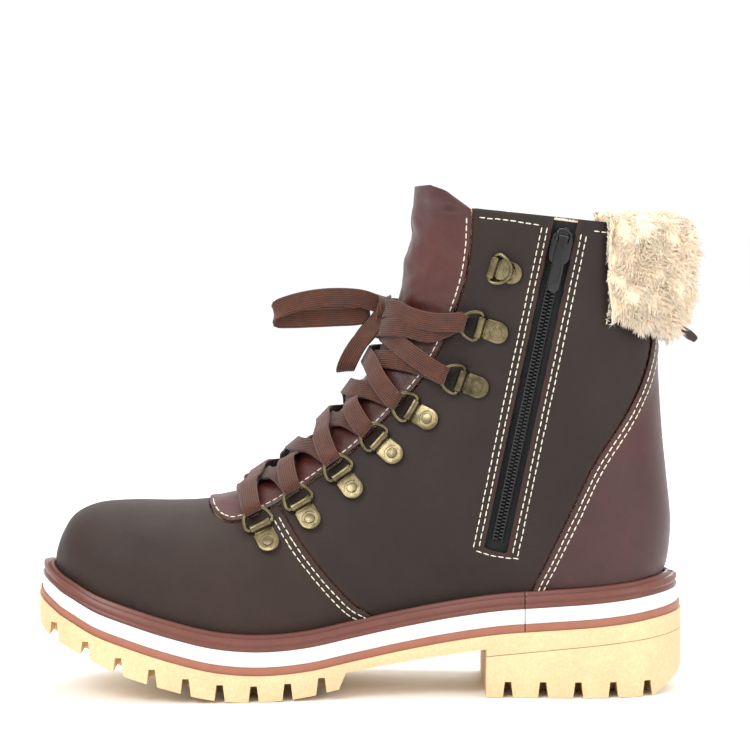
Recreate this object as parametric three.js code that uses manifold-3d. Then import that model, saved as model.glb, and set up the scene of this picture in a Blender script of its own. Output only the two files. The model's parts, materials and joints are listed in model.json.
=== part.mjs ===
// Insulated lace-up winter boot, right foot: lugged crepe sole, welt, leather upper with a side zip,
// shearling lining and collar, sixteen D-rings and a flat lace. Millimetres, +Z up, toe towards -X,
// medial (zip) side towards -Y, origin on the ground under the middle of the bounding box.
import * as THREE from 'three';
import { mergeVertices } from 'three/addons/utils/BufferGeometryUtils.js';
import Module from 'manifold-3d';

const wasm = await Module();
wasm.setup();

// ---- driving dimensions ---------------------------------------------------------------------------
const LAST_LENGTH = 271.6;       // toe tip to the back of the heel
const LAST_WIDTH = 95.6;         // greatest width of the upper, at the ball
const COLLAR_HEIGHT = 214;       // ground to the front of the collar
const GAP = 0.3;                 // clearance between neighbouring pieces
const LEATHER = 2;               // thickness of the upper leather
const STIFFENER = 1.2;           // thickness of the toe puff and the heel counter
const PILE = 4.5;                // thickness of the shearling lining
const WELT_FLANGE = 5.2;         // how far the welt stands out past the upper
const WHITE_OUT = 0.8;           // white strip past the welt
const RUST_OUT = 1.4;            // rust strip past the welt
const SOLE_OUT = 2.2;            // crepe sole past the welt
const STRIP_WIDTH = 13;          // width of the welt, white and rust strips in plan
const WELT = 5.4;                // height of the welt
const WHITE = 6.4;               // height of the white strip
const RUST = 3;                  // height of the rust strip
const SEAM = 0.4;                // slit where the ends of a strip meet
const SEAM_X = 66.5;             // place of that slit, on the medial side
const BOARD = 2.4;               // insole board
const FOOTBED = 5;               // felt footbed
const SHANK = [92, 12, 1.4];     // steel shank: length, width, thickness
const LUG_DEPTH = 6.8;           // depth of the tread gaps
const LUG_GAP = 4.2;             // width of a tread gap at the ground
const LUG_PITCH = 14.5;          // from one tread gap to the next, under the forefoot
const LUG_LENGTH = 21;           // how far a tread gap runs in from the edge
const HEEL_PITCH = 15.2;         // the same under the heel
const HEEL_BREAST = 50.2;        // place of the heel's front face along X
const SLOT_HALF = 5.2;           // half width of the zip opening in the leather
const TAPE_HALF = 12;            // half width of the zip tape
const TAPE = 0.8;                // tape thickness
const COIL_HALF = 2.6;           // width of one coil
const COIL_TALL = 1.7;           // height of a coil above the tape
const ZIP_TOP = [83.4, 204];     // middle of the zip at the collar, X and Z
const ZIP_FOOT = [54.6, 66];     // middle of the zip at its lower end
const SLIDER = [9.2, 15, 2.2];   // slider body: width, length, height above the leather
const PULLER = [5.2, 24, 1.6];   // puller: width, length, thickness
const RING_WIRE = 0.9;           // radius of the D-ring wire
const RING_HALF = 6.3;           // half length of the ring's straight bar, centre of wire
const RING_REACH = 8.6;          // reach of the ring's bow, centre of wire
const BARREL = [9.6, 1.9];       // clip barrel: length and outer radius
const PLATE = [9.6, 10.5, 1.1];  // clip plate: width, length, thickness
const LACE_R = 1.15;             // radius of the plain lace tube
const FUR_THICK = 20;            // how far the fur collar stands out at the back
const PULL_TAB = { wide: 16, thick: 2.6 };  // heel pull tab

// ---- the last: sections from the toe, round the heel, to the collar --------------------------------
// Each row is one section of the upper, seen from the side: its ridge point (X, Z), its lower or rear
// point (X, Z), its greatest half width, the share of that width left at the lower point, and how far
// down the widest place is.
const SECTIONS = [
  [-138.8, 56.5, -138.7, 54.6, 0, 0.9, 0.6],
  [-137.7, 62, -137.3, 53.8, 11.5, 0.92, 0.6],
  [-135, 69.5, -134.3, 51.8, 20.5, 0.94, 0.6],
  [-130, 76.8, -128.5, 49, 29, 0.95, 0.62],
  [-120, 81.2, -118.5, 44, 37, 0.96, 0.66],
  [-105, 82.3, -104, 39, 43, 0.96, 0.7],
  [-86, 82, -86, 33.5, 46.8, 0.96, 0.74],
  [-70, 83, -67, 28.8, 47.8, 0.95, 0.76],
  [-56, 87.5, -48, 27, 46.8, 0.93, 0.76],
  [-43.5, 95, -28, 28.2, 44.6, 0.9, 0.74],
  [-32, 103.5, -8, 32, 42, 0.87, 0.71],
  [-22, 112.5, 13, 36.2, 39.6, 0.85, 0.68],
  [-12.5, 122.5, 35, 40.2, 37.6, 0.85, 0.66],
  [-4.5, 133, 56, 43.2, 36.2, 0.87, 0.66],
  [1.5, 143, 77, 44.8, 35.4, 0.9, 0.67],
  [6, 152, 97, 46.3, 35.4, 0.91, 0.67],
  [9, 159, 113, 48, 35.7, 0.81, 0.66],
  [10.5, 163.5, 123, 49.8, 36, 0.58, 0.65],
  [11.5, 166.5, 128.6, 51.6, 36.2, 0.27, 0.64],
  [12.2, 169, 130.6, 53.5, 36.4, 0, 0.64],
  [13.2, 173, 132.2, 62, 36.8, 0, 0.63],
  [14.2, 178, 132.8, 75, 37.2, 0, 0.61],
  [15.2, 184, 131, 93, 37.5, 0, 0.6],
  [16, 190, 129, 112, 37.8, 0, 0.58],
  [16.8, 196, 127.5, 132, 38.2, 0, 0.57],
  [17.6, 202, 126.2, 153, 38.7, 0, 0.55],
  [18.6, 208, 125, 176, 39.3, 0, 0.53],
  [19.6, 214, 124, 203, 39.8, 0, 0.52],
  [21, 222.5, 123.4, 212, 40.2, 0, 0.52],
  [22.5, 231, 123, 221, 40.4, 0, 0.52],
];
const HEEL_ROW = 19;             // row where the lower edge ends at the back of the heel
const COLLAR_ROW = 27;           // row of the collar's top edge
const ROUNDNESS = 2.25;          // exponent of the section curves
const STRETCH_X = LAST_LENGTH / 271.6;
const STRETCH_Y = LAST_WIDTH / 95.6;
const STRETCH_Z = COLLAR_HEIGHT / 214;
const side = (x, z) => [x * STRETCH_X, z * STRETCH_Z];

// ---- the surface of the upper ----------------------------------------------------------------------
function catmullRom(a, b, c, d, t) {
  return 0.5 * (2 * b + (c - a) * t + (2 * a - 5 * b + 4 * c - d) * t * t + (3 * b - a - 3 * c + d) * t ** 3);
}

// The section at row u, between the rows of the table.
function section(u) {
  const last = SECTIONS.length - 1;
  const i = Math.min(Math.floor(u), last - 1);
  const rows = [Math.max(i - 1, 0), i, i + 1, Math.min(i + 2, last)].map((k) => SECTIONS[k]);
  const v = rows[0].map((_, c) => catmullRom(rows[0][c], rows[1][c], rows[2][c], rows[3][c], u - i));
  const [tx, tz] = side(v[0], v[1]);
  const [bx, bz] = side(v[2], v[3]);
  const keep = u >= HEEL_ROW ? 0 : Math.max(v[5], 0);
  return { tx, tz, bx, bz, half: Math.max(v[4], 0) * STRETCH_Y, keep, widest: v[6] };
}

// The middle line of a right foot seen from above: the toe leans to the medial side.
function middle(x) {
  const t = x / STRETCH_X;
  const toe = t < -55 ? -7 * ((-55 - t) / 84) ** 1.5 : 0;
  return (toe + 1.8 * Math.exp(-(((t - 10) / 42) ** 2))) * STRETCH_Y;
}

// A point of the upper: row u, s from the ridge (0) to the lower or rear point (1), hand -1 or +1.
function upperPoint(u, s, hand) {
  const c = section(u);
  const x = c.tx + (c.bx - c.tx) * s;
  const z = c.tz + (c.bz - c.tz) * s;
  const far = s < c.widest ? (c.widest - s) / c.widest : (s - c.widest) / (1 - c.widest);
  const left = s < c.widest ? 0 : c.keep;
  const share = Math.max(1 - (1 - left ** ROUNDNESS) * far ** ROUNDNESS, 0) ** (1 / ROUNDNESS);
  return new THREE.Vector3(x, middle(x) + hand * c.half * share, z);
}

const FINE = { steps: 9, stride: 1 };    // grid of the leather
const PLAIN = { steps: 6, stride: 2 };   // grid of the soft lining

// Grid of the upper's skin from row `from` to row `to`, moved in by `inset`; both hands share the ridge.
function skin(inset, from, to, { steps, stride }) {
  const across = (j) => (1 - Math.cos((Math.PI * j) / steps)) / 2;
  const rows = [from];
  for (let u = Math.floor(from) + 1; u < HEEL_ROW; u += stride) rows.push(u);
  for (let u = HEEL_ROW; u < to - 1e-6; u += stride) rows.push(u);
  rows.push(to);
  const points = [];
  const index = rows.map(() => ({ '-1': [], 1: [] }));
  rows.forEach((u, i) => {
    for (const hand of [-1, 1]) {
      for (let j = 0; j <= steps; j++) {
        const p = upperPoint(u, across(j), hand);
        const twin = hand === 1 ? points[index[i][-1][j]] : null;
        if (twin && twin.distanceTo(p) < 1e-4) index[i][1].push(index[i][-1][j]);
        else index[i][hand].push(points.push(p) - 1);
      }
    }
  });
  const faces = [];
  for (let i = 0; i + 1 < rows.length; i++) {
    for (const hand of [-1, 1]) {
      for (let j = 0; j < steps; j++) {
        const [a, b] = [index[i][hand][j], index[i][hand][j + 1]];
        const [c, d] = [index[i + 1][hand][j], index[i + 1][hand][j + 1]];
        if (hand < 0) faces.push([a, b, d], [a, d, c]);
        else faces.push([a, d, b], [a, c, d]);
      }
    }
  }
  if (inset) moveIn(points, faces, inset);
  return { rows, points, index, faces };
}

// Moves every point in along its normal.
function moveIn(points, faces, inset) {
  const normals = points.map(() => new THREE.Vector3());
  for (const [a, b, c] of faces) {
    const n = points[b].clone().sub(points[a]).cross(points[c].clone().sub(points[a]));
    for (const k of [a, b, c]) normals[k].add(n);
  }
  points.forEach((p, k) => p.addScaledVector(normals[k].normalize(), -inset));
}

// A closed solid under the skin: the skin, walls that run down from the lower edge, and its caps.
function hull(inset, from = 0, drop = 0, to = COLLAR_ROW, grain = FINE) {
  const grid = skin(inset, from, to, grain);
  const edge = grain.steps;
  const { rows, points, index, faces } = grid;
  const heel = rows.findIndex((u) => u >= HEEL_ROW);
  const low = index.map((row, i) => {
    if (i > heel || !drop) return { '-1': row[-1][edge], 1: row[1][edge] };
    const pair = {};
    for (const hand of [-1, 1]) {
      if (hand > 0 && row[1][edge] === row[-1][edge]) pair[1] = pair[-1];
      else {
        const low = points[row[hand][edge]].clone();
        pair[hand] = points.push(low.setZ(low.z - drop)) - 1;
      }
    }
    return pair;
  });
  for (let i = 0; i < heel; i++) {
    for (const hand of [-1, 1]) {
      const [a, b] = [index[i][hand][edge], index[i + 1][hand][edge]];
      const [c, d] = [low[i][hand], low[i + 1][hand]];
      if (hand < 0) faces.push([a, c, d], [a, d, b]);
      else faces.push([a, d, c], [a, b, d]);
    }
    faces.push([low[i][-1], low[i][1], low[i + 1][1]], [low[i][-1], low[i + 1][1], low[i + 1][-1]]);
  }
  const cap = (i, flip) => {
    const left = [...index[i][-1], ...(drop && i <= heel ? [low[i][-1]] : [])];
    const right = [...index[i][1], ...(drop && i <= heel ? [low[i][1]] : [])];
    for (let j = 0; j + 1 < left.length; j++) {
      const quad = [[left[j], right[j], right[j + 1]], [left[j], right[j + 1], left[j + 1]]];
      faces.push(...(flip ? quad.map(([a, b, c]) => [a, c, b]) : quad));
    }
  };
  cap(0, false);
  cap(rows.length - 1, true);
  return solidFromFaces(points, faces);
}

// ---- solids ----------------------------------------------------------------------------------------
function solidFromFaces(points, faces) {
  const real = faces.filter(([a, b, c]) => a !== b && b !== c && a !== c);
  const vertProperties = new Float32Array(points.flatMap((p) => [p.x, p.y, p.z]));
  const triVerts = new Uint32Array(real.flat());
  return new wasm.Manifold(new wasm.Mesh({ numProp: 3, vertProperties, triVerts }));
}

function solidFromGeometry(geometry, matrix) {
  const bare = geometry.clone();
  bare.deleteAttribute('normal');
  bare.deleteAttribute('uv');
  if (matrix) bare.applyMatrix4(matrix);
  const merged = mergeVertices(bare, 1e-4);
  const at = merged.attributes.position;
  const points = Array.from({ length: at.count }, (_, i) => new THREE.Vector3().fromBufferAttribute(at, i));
  const order = merged.index.array;
  const faces = Array.from({ length: order.length / 3 }, (_, i) => [...order.slice(3 * i, 3 * i + 3)]);
  return solidFromFaces(points, faces);
}

// An outline in the side view (X, Z) pushed along Y from y0 to y1.
function sidePrism(outline, y0, y1) {
  const shape = new THREE.Shape(outline.map(([x, z]) => new THREE.Vector2(x, z)));
  const block = new THREE.ExtrudeGeometry(shape, { depth: y1 - y0, bevelEnabled: false, curveSegments: 8 });
  const turn = new THREE.Matrix4().makeRotationX(Math.PI / 2).setPosition(0, y1, 0);
  return solidFromGeometry(block, turn);
}

// An outline in plan (X, Y), with holes, pushed along Z from z0 to z1.
function planPrism(outline, holes, z0, z1) {
  const shape = new THREE.Shape(outline.map(([x, y]) => new THREE.Vector2(x, y)));
  for (const hole of holes) shape.holes.push(new THREE.Path(hole.map(([x, y]) => new THREE.Vector2(x, y))));
  const block = new THREE.ExtrudeGeometry(shape, { depth: z1 - z0, bevelEnabled: false });
  return solidFromGeometry(block, new THREE.Matrix4().makeTranslation(0, 0, z0));
}

const material = (color, roughness, metalness = 0) =>
  new THREE.MeshStandardMaterial({ color, roughness, metalness });
const boot = new THREE.Group();

function addGeometry(name, geometry, finish, parent = boot) {
  const mesh = new THREE.Mesh(geometry, finish);
  mesh.name = name;
  parent.add(mesh);
  return mesh;
}

function addSolid(name, solid, finish, parent = boot) {
  const { vertProperties, triVerts } = solid.getMesh();
  const geometry = new THREE.BufferGeometry();
  geometry.setAttribute('position', new THREE.BufferAttribute(new Float32Array(vertProperties), 3));
  geometry.setIndex(new THREE.BufferAttribute(new Uint32Array(triVerts), 1));
  return addGeometry(name, geometry, finish, parent);
}

// ---- sole ------------------------------------------------------------------------------------------
const crepe = material(0xe8d9a8, 0.75);
const rust = material(0xb07a5e, 0.7);
const white = material(0xf4f2ee, 0.6);
const brownRubber = material(0x7a4a3c, 0.55);
const cork = material(0xa88a5c, 0.9);
const board = material(0xb99a6a, 0.9);
const steel = material(0x9a9da0, 0.35, 1);
const felt = material(0xd9c7a6, 0.95);

// The line that the upper stands on, seen from the side.
const SEAT = [
  side(-156, 64.5),
  ...SECTIONS.slice(0, 17).map(([, , x, z]) => side(x, z - GAP)),
  side(124, 49.2), side(142, 51.2),
];
const drop = (line, d) => line.map(([x, z]) => [x, z - d]);
const band = (upper, lower) => [...upper, ...[...lower].reverse()];

function heightOn(line, x) {
  const i = Math.max(1, line.findIndex((p, k) => k > 0 && p[0] >= x));
  const [[x0, z0], [x1, z1]] = [line[i - 1], line[i]];
  return z0 + ((z1 - z0) * (x - x0)) / (x1 - x0);
}

// The upper's lower edge seen from above, as an even closed loop, moved out by `out`.
const LOOP_POINTS = 52;
function soleLoop(out) {
  const half = (hand) => {
    const edge = [];
    for (let u = 0.5; u < HEEL_ROW; u += 0.5) edge.push(upperPoint(u, 1, hand));
    return edge;
  };
  const ends = [upperPoint(0, 1, 1), upperPoint(HEEL_ROW, 1, 1)];
  const loop = [ends[0], ...half(-1), ends[1], ...half(1).reverse()].map((p) => p.setZ(0));
  const even = new THREE.CatmullRomCurve3(loop, true, 'centripetal').getSpacedPoints(LOOP_POINTS);
  even.pop();
  return even.map((p, i) => {
    const before = even.at(i - 1);
    const after = even[(i + 1) % even.length];
    const along = after.clone().sub(before).normalize();
    return [p.x + along.y * out, p.y - along.x * out];
  });
}

const TALL = 90;                 // taller than the sole stack
const WIDE = 90;                 // wider than half the boot
const strip = (out, upper, lower) => {
  const ring = planPrism(soleLoop(out), [soleLoop(WELT_FLANGE - STRIP_WIDTH).reverse()], -1, TALL);
  const [seamX] = side(SEAM_X, 0);
  const slit = sidePrism([[seamX, 0], [seamX + SEAM, 0], [seamX + SEAM, TALL], [seamX, TALL]], -WIDE, 0);
  return ring.intersect(sidePrism(band(upper, lower), -WIDE, WIDE)).subtract(slit);
};

const weltTop = SEAT;
const weltLow = drop(SEAT, WELT);
const whiteLow = drop(weltLow, GAP + WHITE);
const rustLow = drop(whiteLow, GAP + RUST);
addSolid('welt', strip(WELT_FLANGE, weltTop, weltLow), brownRubber);
addSolid('white_strip', strip(WELT_FLANGE + WHITE_OUT, drop(weltLow, GAP), whiteLow), white);
addSolid('rust_strip', strip(WELT_FLANGE + RUST_OUT, drop(whiteLow, GAP), rustLow), rust);

function shankOutline(grow) {
  const [x0] = side(34, 0);
  const half = SHANK[0] / 2 + grow;
  const line = SEAT.filter(([x]) => Math.abs(x - x0) < half - 2).map(([x, z]) => [x, z]);
  const ends = [x0 - half, x0 + half].map((x) => [x, heightOn(SEAT, x)]);
  const path = [ends[0], ...line, ends[1]];
  return band(drop(path, GAP - grow), drop(path, GAP + SHANK[2] + grow));
}
const fillerPlan = planPrism(soleLoop(WELT_FLANGE - STRIP_WIDTH - GAP), [], -1, TALL);
const pocket = sidePrism(shankOutline(GAP + 0.001), -SHANK[1] / 2 - GAP, SHANK[1] / 2 + GAP);
const fillerBand = sidePrism(band(weltTop, rustLow), -WIDE, WIDE);
addSolid('midsole_filler', fillerPlan.intersect(fillerBand).subtract(pocket), cork);
addSolid('shank', sidePrism(shankOutline(0), -SHANK[1] / 2, SHANK[1] / 2), steel);

// Underside of the forefoot and arch, then the heel, seen from the side.
const TREAD = [
  side(-156, 42), side(-148.6, 36), side(-146, 32), side(-141, 27.5), side(-124, 19.5), side(-113, 14.2),
  side(-101, 9.8), side(-86, 5.6), side(-74, 2.4), side(-60, 0.3), side(-44.5, 0), side(-28, 1.5),
  side(-13.5, 4.4), side(-10.5, 11.6), side(25, 17.3), side(HEEL_BREAST, 21),
];
const PARTING = [side(HEEL_BREAST, 17.6), side(142, 27)];
const HEEL_GROUND = [side(HEEL_BREAST, 0), side(123, 0), side(138.5, 9.5), side(142, 14)];

// A gap that tapers upwards from the ground line at x.
function treadGap(line, x, y0, y1) {
  const z = heightOn(line, x);
  const [wide, slim] = [LUG_GAP / 2 + 0.5, LUG_GAP / 2 - 0.7];
  const [low, high] = [z - 3, z + LUG_DEPTH];
  const outline = [[x - wide, low], [x + wide, low], [x + slim, high], [x - slim, high]];
  return sidePrism(outline, y0, y1);
}

// Tread gaps that run in from both edges, with the middle lugs half a pitch behind them.
function cutTread(solid, line, first, pitch, count, halfWidth) {
  let cut = solid;
  for (let k = 0; k < count; k++) {
    const [x] = side(first + k * pitch, 0);
    const edge = halfWidth(x);
    const y = middle(x);
    cut = cut.subtract(treadGap(line, x, y - edge - 9, y - edge + LUG_LENGTH));
    cut = cut.subtract(treadGap(line, x, y + edge - LUG_LENGTH, y + edge + 9));
    if (k + 1 < count) cut = cut.subtract(treadGap(line, x + (pitch * STRETCH_X) / 2, y - 9, y + 9));
  }
  return cut;
}

const soleHalf = (x) => {
  const row = SECTIONS.findIndex(([, , bx]) => side(bx, 0)[0] >= x);
  return section(row).half * section(row).keep + WELT_FLANGE;
};
const solePlan = planPrism(soleLoop(WELT_FLANGE + SOLE_OUT), [], -3, TALL);
const soleTop = drop(rustLow, GAP);
const heelRoof = PARTING.map(([x, z]) => [x, z + GAP]);
const slabSide = sidePrism(band(soleTop, [...TREAD, ...heelRoof]), -WIDE, WIDE);
const FIRST_GAP = -137;
addSolid('outsole', cutTread(solePlan.intersect(slabSide), TREAD, FIRST_GAP, LUG_PITCH, 9, soleHalf), crepe);
const heelSide = sidePrism(band(PARTING, HEEL_GROUND), -WIDE, WIDE);
const FIRST_HEEL_GAP = 59.5;
const heelHalf = (x) => soleHalf(Math.min(x, side(112, 0)[0]));
const heelLift = cutTread(solePlan.intersect(heelSide), HEEL_GROUND, FIRST_HEEL_GAP, HEEL_PITCH, 5, heelHalf);
addSolid('heel_lift', heelLift, crepe);

// ---- upper -----------------------------------------------------------------------------------------
const vampLeather = material(0x4a3d37, 0.6);
const quarterLeather = material(0x433a36, 0.62);
const redLeather = material(0x6b4138, 0.5);
const shearling = material(0xf0dfc0, 0.95);
const puffBoard = material(0xc9b48c, 0.85);

const TONGUE_EDGE = [
  side(-74, 96), side(-71.5, 84), side(-67, 78.3), side(-61, 75.9), side(-54.9, 76.8), side(-45, 81.2),
  side(-40, 83.7), side(-20.8, 96.4), side(-5.6, 108.1), side(9.1, 122.8), side(21.2, 135.8),
  side(29.4, 149.2), side(37.6, 170), side(41.1, 182.1), side(43.1, 196), side(43.5, 210.5),
];
const THROAT = 6;                // place in that edge where the vamp's rear edge meets it
const TONGUE_TOP = [side(43.5, 211), side(33, 219), side(26.4, 221.4), side(21, 220.8), side(0, 218)];
const VAMP_EDGE = [
  TONGUE_EDGE[THROAT], side(-30, 67.5), side(-18, 51.9), side(-7, 40), side(1.7, 33.5), side(3, 20),
];
const HEEL_EDGE = [
  side(68, 28), side(70.1, 44.5), side(76.1, 57.5), side(87.1, 80.4), side(96.4, 100.3), side(111.4, 123.3),
  side(118.3, 137.1), side(122.2, 150.1), side(124, 166), side(133, 178),
];
const FRONT = -170;              // beyond the toe
const BACK = 170;                // beyond the heel
const ABOVE = 260;               // above the boot

// A thin wall along a line in the side view, to part two panels by GAP.
function seamCut(line, y0 = -WIDE, y1 = WIDE) {
  const shift = (sign) => line.map(([x, z], i) => {
    const [x0, z0] = line[Math.max(i - 1, 0)];
    const [x1, z1] = line[Math.min(i + 1, line.length - 1)];
    const long = Math.hypot(x1 - x0, z1 - z0);
    return [x - (sign * (GAP / 2) * (z1 - z0)) / long, z + (sign * (GAP / 2) * (x1 - x0)) / long];
  });
  return sidePrism(band(shift(1), shift(-1)), y0, y1);
}
const above = (line, y0 = -WIDE, y1 = WIDE) => {
  const [first, last] = [line[0], line.at(-1)];
  return sidePrism([...line, [last[0], ABOVE], [first[0], ABOVE]], y0, y1);
};

const inside = LEATHER + GAP;
const liningOut = inside + STIFFENER + GAP;
const liningIn = liningOut + PILE;
const MORE = COLLAR_ROW + 1;
const shell = hull(0).subtract(hull(LEATHER, 1, 8, MORE));
const tallShell = hull(0, 0, 0, MORE).subtract(hull(LEATHER, 1, 8, MORE + 1));
const tongueRegion = sidePrism([...TONGUE_EDGE, ...TONGUE_TOP, side(-40, 200)], -WIDE, WIDE);
const tongueSeam = seamCut(TONGUE_EDGE);
addSolid('tongue', tallShell.intersect(tongueRegion).subtract(tongueSeam), redLeather);

const rest = shell.subtract(tongueRegion).subtract(tongueSeam);
const vampRegion = sidePrism(
  [...VAMP_EDGE, [FRONT, 20], [FRONT, ABOVE], [VAMP_EDGE[0][0], ABOVE]], -WIDE, WIDE);
const vampSeam = seamCut(VAMP_EDGE);
addSolid('vamp', rest.intersect(vampRegion).subtract(vampSeam), vampLeather);

const heelRegion = sidePrism([...HEEL_EDGE, [BACK, HEEL_EDGE.at(-1)[1]], [BACK, 20]], -WIDE, WIDE);
const heelSeam = seamCut(HEEL_EDGE);
addSolid('heel_panel', rest.intersect(heelRegion).subtract(heelSeam), redLeather);

const middlePanels = rest.subtract(vampRegion).subtract(vampSeam).subtract(heelRegion).subtract(heelSeam);
const zipTop = side(...ZIP_TOP);
const zipFoot = side(...ZIP_FOOT);
const zipRun = [zipTop[0] - zipFoot[0], zipTop[1] - zipFoot[1]];
const zipLong = Math.hypot(...zipRun);
const zipAlong = zipRun.map((v) => v / zipLong);

// A strip along the zip in the side view, from `low` past its foot to `high` past its top.
function zipStrip(halfWidth, low, high) {
  const corner = (a, w) => [
    zipFoot[0] + zipAlong[0] * a + zipAlong[1] * w,
    zipFoot[1] + zipAlong[1] * a - zipAlong[0] * w,
  ];
  const [a, b] = [-low, zipLong + high];
  const outline = [corner(a, -halfWidth), corner(a, halfWidth), corner(b, halfWidth), corner(b, -halfWidth)];
  return sidePrism(outline, -WIDE, 0);
}
const medialSide = sidePrism([[FRONT, -10], [BACK, -10], [BACK, ABOVE], [FRONT, ABOVE]], -WIDE, -GAP / 2);
const lateralSide = sidePrism([[FRONT, -10], [BACK, -10], [BACK, ABOVE], [FRONT, ABOVE]], GAP / 2, WIDE);
const zipSlot = zipStrip(SLOT_HALF, 3, 40);
addSolid('quarter_medial', middlePanels.intersect(medialSide).subtract(zipSlot), quarterLeather);
addSolid('quarter_lateral', middlePanels.intersect(lateralSide), quarterLeather);

// ---- inside the upper ------------------------------------------------------------------------------
const floor0 = drop(SEAT, -GAP);
const boardTop = drop(floor0, -BOARD);
const bedLow = drop(boardTop, -GAP);
const bedTop = drop(bedLow, -FOOTBED);
const layer = hull(inside, 2, 0).subtract(hull(inside + STIFFENER, 3, 8, MORE));
const puffRegion = above(drop(floor0, -GAP)).intersect(
  sidePrism([[FRONT, 20], side(-97, 20), side(-103, ABOVE), [FRONT, ABOVE]], -WIDE, WIDE));
addSolid('toe_puff', layer.intersect(puffRegion), puffBoard);
const counterRegion = above(drop(floor0, -GAP)).intersect(
  sidePrism(
    [side(84, 20), side(90, 76), side(104, 106), [BACK, COLLAR_HEIGHT / 2], [BACK, 20]], -WIDE, WIDE));
addSolid('heel_counter', layer.intersect(counterRegion), puffBoard);
const boardBand = sidePrism(band(boardTop, floor0), -WIDE, WIDE);
addSolid('insole_board', hull(liningOut, 3, 6).intersect(boardBand), board);
const liningShell = hull(liningOut, 3, 6).subtract(hull(liningIn, 4, 9, MORE, PLAIN));
addSolid('lining', liningShell.intersect(above(bedLow)), shearling);
const bedSolid = hull(liningIn + GAP, 4, 6, COLLAR_ROW, PLAIN);
addSolid('footbed', bedSolid.intersect(sidePrism(band(bedTop, bedLow), -WIDE, WIDE)), felt);

// ---- places on the upper ---------------------------------------------------------------------------
// Row and share of the section through a point of the side view.
function locate(x, z) {
  const miss = (u) => {
    const c = section(u);
    return (c.bx - c.tx) * (z - c.tz) - (c.bz - c.tz) * (x - c.tx);
  };
  const share = (u) => {
    const c = section(u);
    const [dx, dz] = [c.bx - c.tx, c.bz - c.tz];
    return ((x - c.tx) * dx + (z - c.tz) * dz) / (dx * dx + dz * dz);
  };
  for (let u = 1; u < SECTIONS.length - 1; u += 0.25) {
    let [low, high] = [u, u + 0.25];
    if (miss(low) * miss(high) > 0) continue;
    for (let i = 0; i < 30; i++) {
      const mid = (low + high) / 2;
      if (miss(low) * miss(mid) <= 0) high = mid;
      else low = mid;
    }
    if (share(low) > -0.02 && share(low) < 1.02) return [low, Math.min(Math.max(share(low), 0), 1)];
  }
  throw new Error(`no place on the upper at ${x}, ${z}`);
}

const NEAR = 1e-3;
function upperNormal(u, s, hand) {
  const alongRow = upperPoint(u + NEAR, s, hand).sub(upperPoint(u - NEAR, s, hand));
  const down = upperPoint(u, Math.min(s + NEAR, 1), hand).sub(upperPoint(u, Math.max(s - NEAR, 0), hand));
  return down.cross(alongRow).multiplyScalar(-hand).normalize();
}

function onUpper(x, z, hand) {
  const [u, s] = locate(x, z);
  return { point: upperPoint(u, s, hand), normal: upperNormal(u, s, hand) };
}

// A matrix from three axes and an origin.
function frameOf(x, y, z, origin) {
  return new THREE.Matrix4().makeBasis(x, y, z).setPosition(origin);
}

// A round tube through the given points, closed on itself or with flat ends.
function tubeSolid(points, radius, sides, closed) {
  const count = points.length;
  const tangent = points.map((_, i) => {
    const before = closed ? points.at(i - 1) : points[Math.max(i - 1, 0)];
    const after = closed ? points[(i + 1) % count] : points[Math.min(i + 1, count - 1)];
    return after.clone().sub(before).normalize();
  });
  const seed = Math.abs(tangent[0].z) < 0.9 ? new THREE.Vector3(0, 0, 1) : new THREE.Vector3(1, 0, 0);
  let up = seed.clone().addScaledVector(tangent[0], -seed.dot(tangent[0])).normalize();
  const rings = points.map((p, i) => {
    up = up.clone().addScaledVector(tangent[i], -up.dot(tangent[i])).normalize();
    const out = new THREE.Vector3().crossVectors(tangent[i], up);
    return Array.from({ length: sides }, (_, k) => {
      const a = (2 * Math.PI * k) / sides;
      return p.clone().addScaledVector(up, radius * Math.cos(a)).addScaledVector(out, radius * Math.sin(a));
    });
  });
  return loftSolid(rings, closed);
}

// A closed body through rings of equal length, closed on itself or capped at both ends.
function loftSolid(rings, closed) {
  const sides = rings[0].length;
  const points = rings.flat();
  const faces = [];
  for (let i = 0; i < rings.length - (closed ? 0 : 1); i++) {
    const [a, b] = [i * sides, ((i + 1) % rings.length) * sides];
    for (let k = 0; k < sides; k++) {
      const n = (k + 1) % sides;
      faces.push([a + k, a + n, b + n], [a + k, b + n, b + k]);
    }
  }
  if (!closed) {
    const end = (rings.length - 1) * sides;
    for (let k = 1; k + 1 < sides; k++) faces.push([0, k + 1, k], [end, end + k, end + k + 1]);
  }
  const solid = solidFromFaces(points, faces);
  return solid.volume() > 0 ? solid : solidFromFaces(points, faces.map(([a, b, c]) => [a, c, b]));
}

// ---- fur collar and pull tab -----------------------------------------------------------------------
const tabLeather = material(0x4a3330, 0.6);
const [TAB_ROOT, TAB_TIP] = [side(129, 166.5), side(143.2, 153.2)];

function tabSolid(grow) {
  const run = new THREE.Vector2(TAB_TIP[0] - TAB_ROOT[0], TAB_TIP[1] - TAB_ROOT[1]).normalize();
  const half = PULL_TAB.thick / 2 + grow;
  const corner = ([x, z], a, w) => [x + run.x * a - run.y * w, z + run.y * a + run.x * w];
  const outline = [
    corner(TAB_ROOT, -grow, -half), corner(TAB_TIP, grow, -half),
    corner(TAB_TIP, grow, half), corner(TAB_ROOT, -grow, half),
  ];
  return sidePrism(outline, -PULL_TAB.wide / 2 - grow, PULL_TAB.wide / 2 + grow);
}
addSolid('pull_tab', tabSolid(0), tabLeather);

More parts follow.
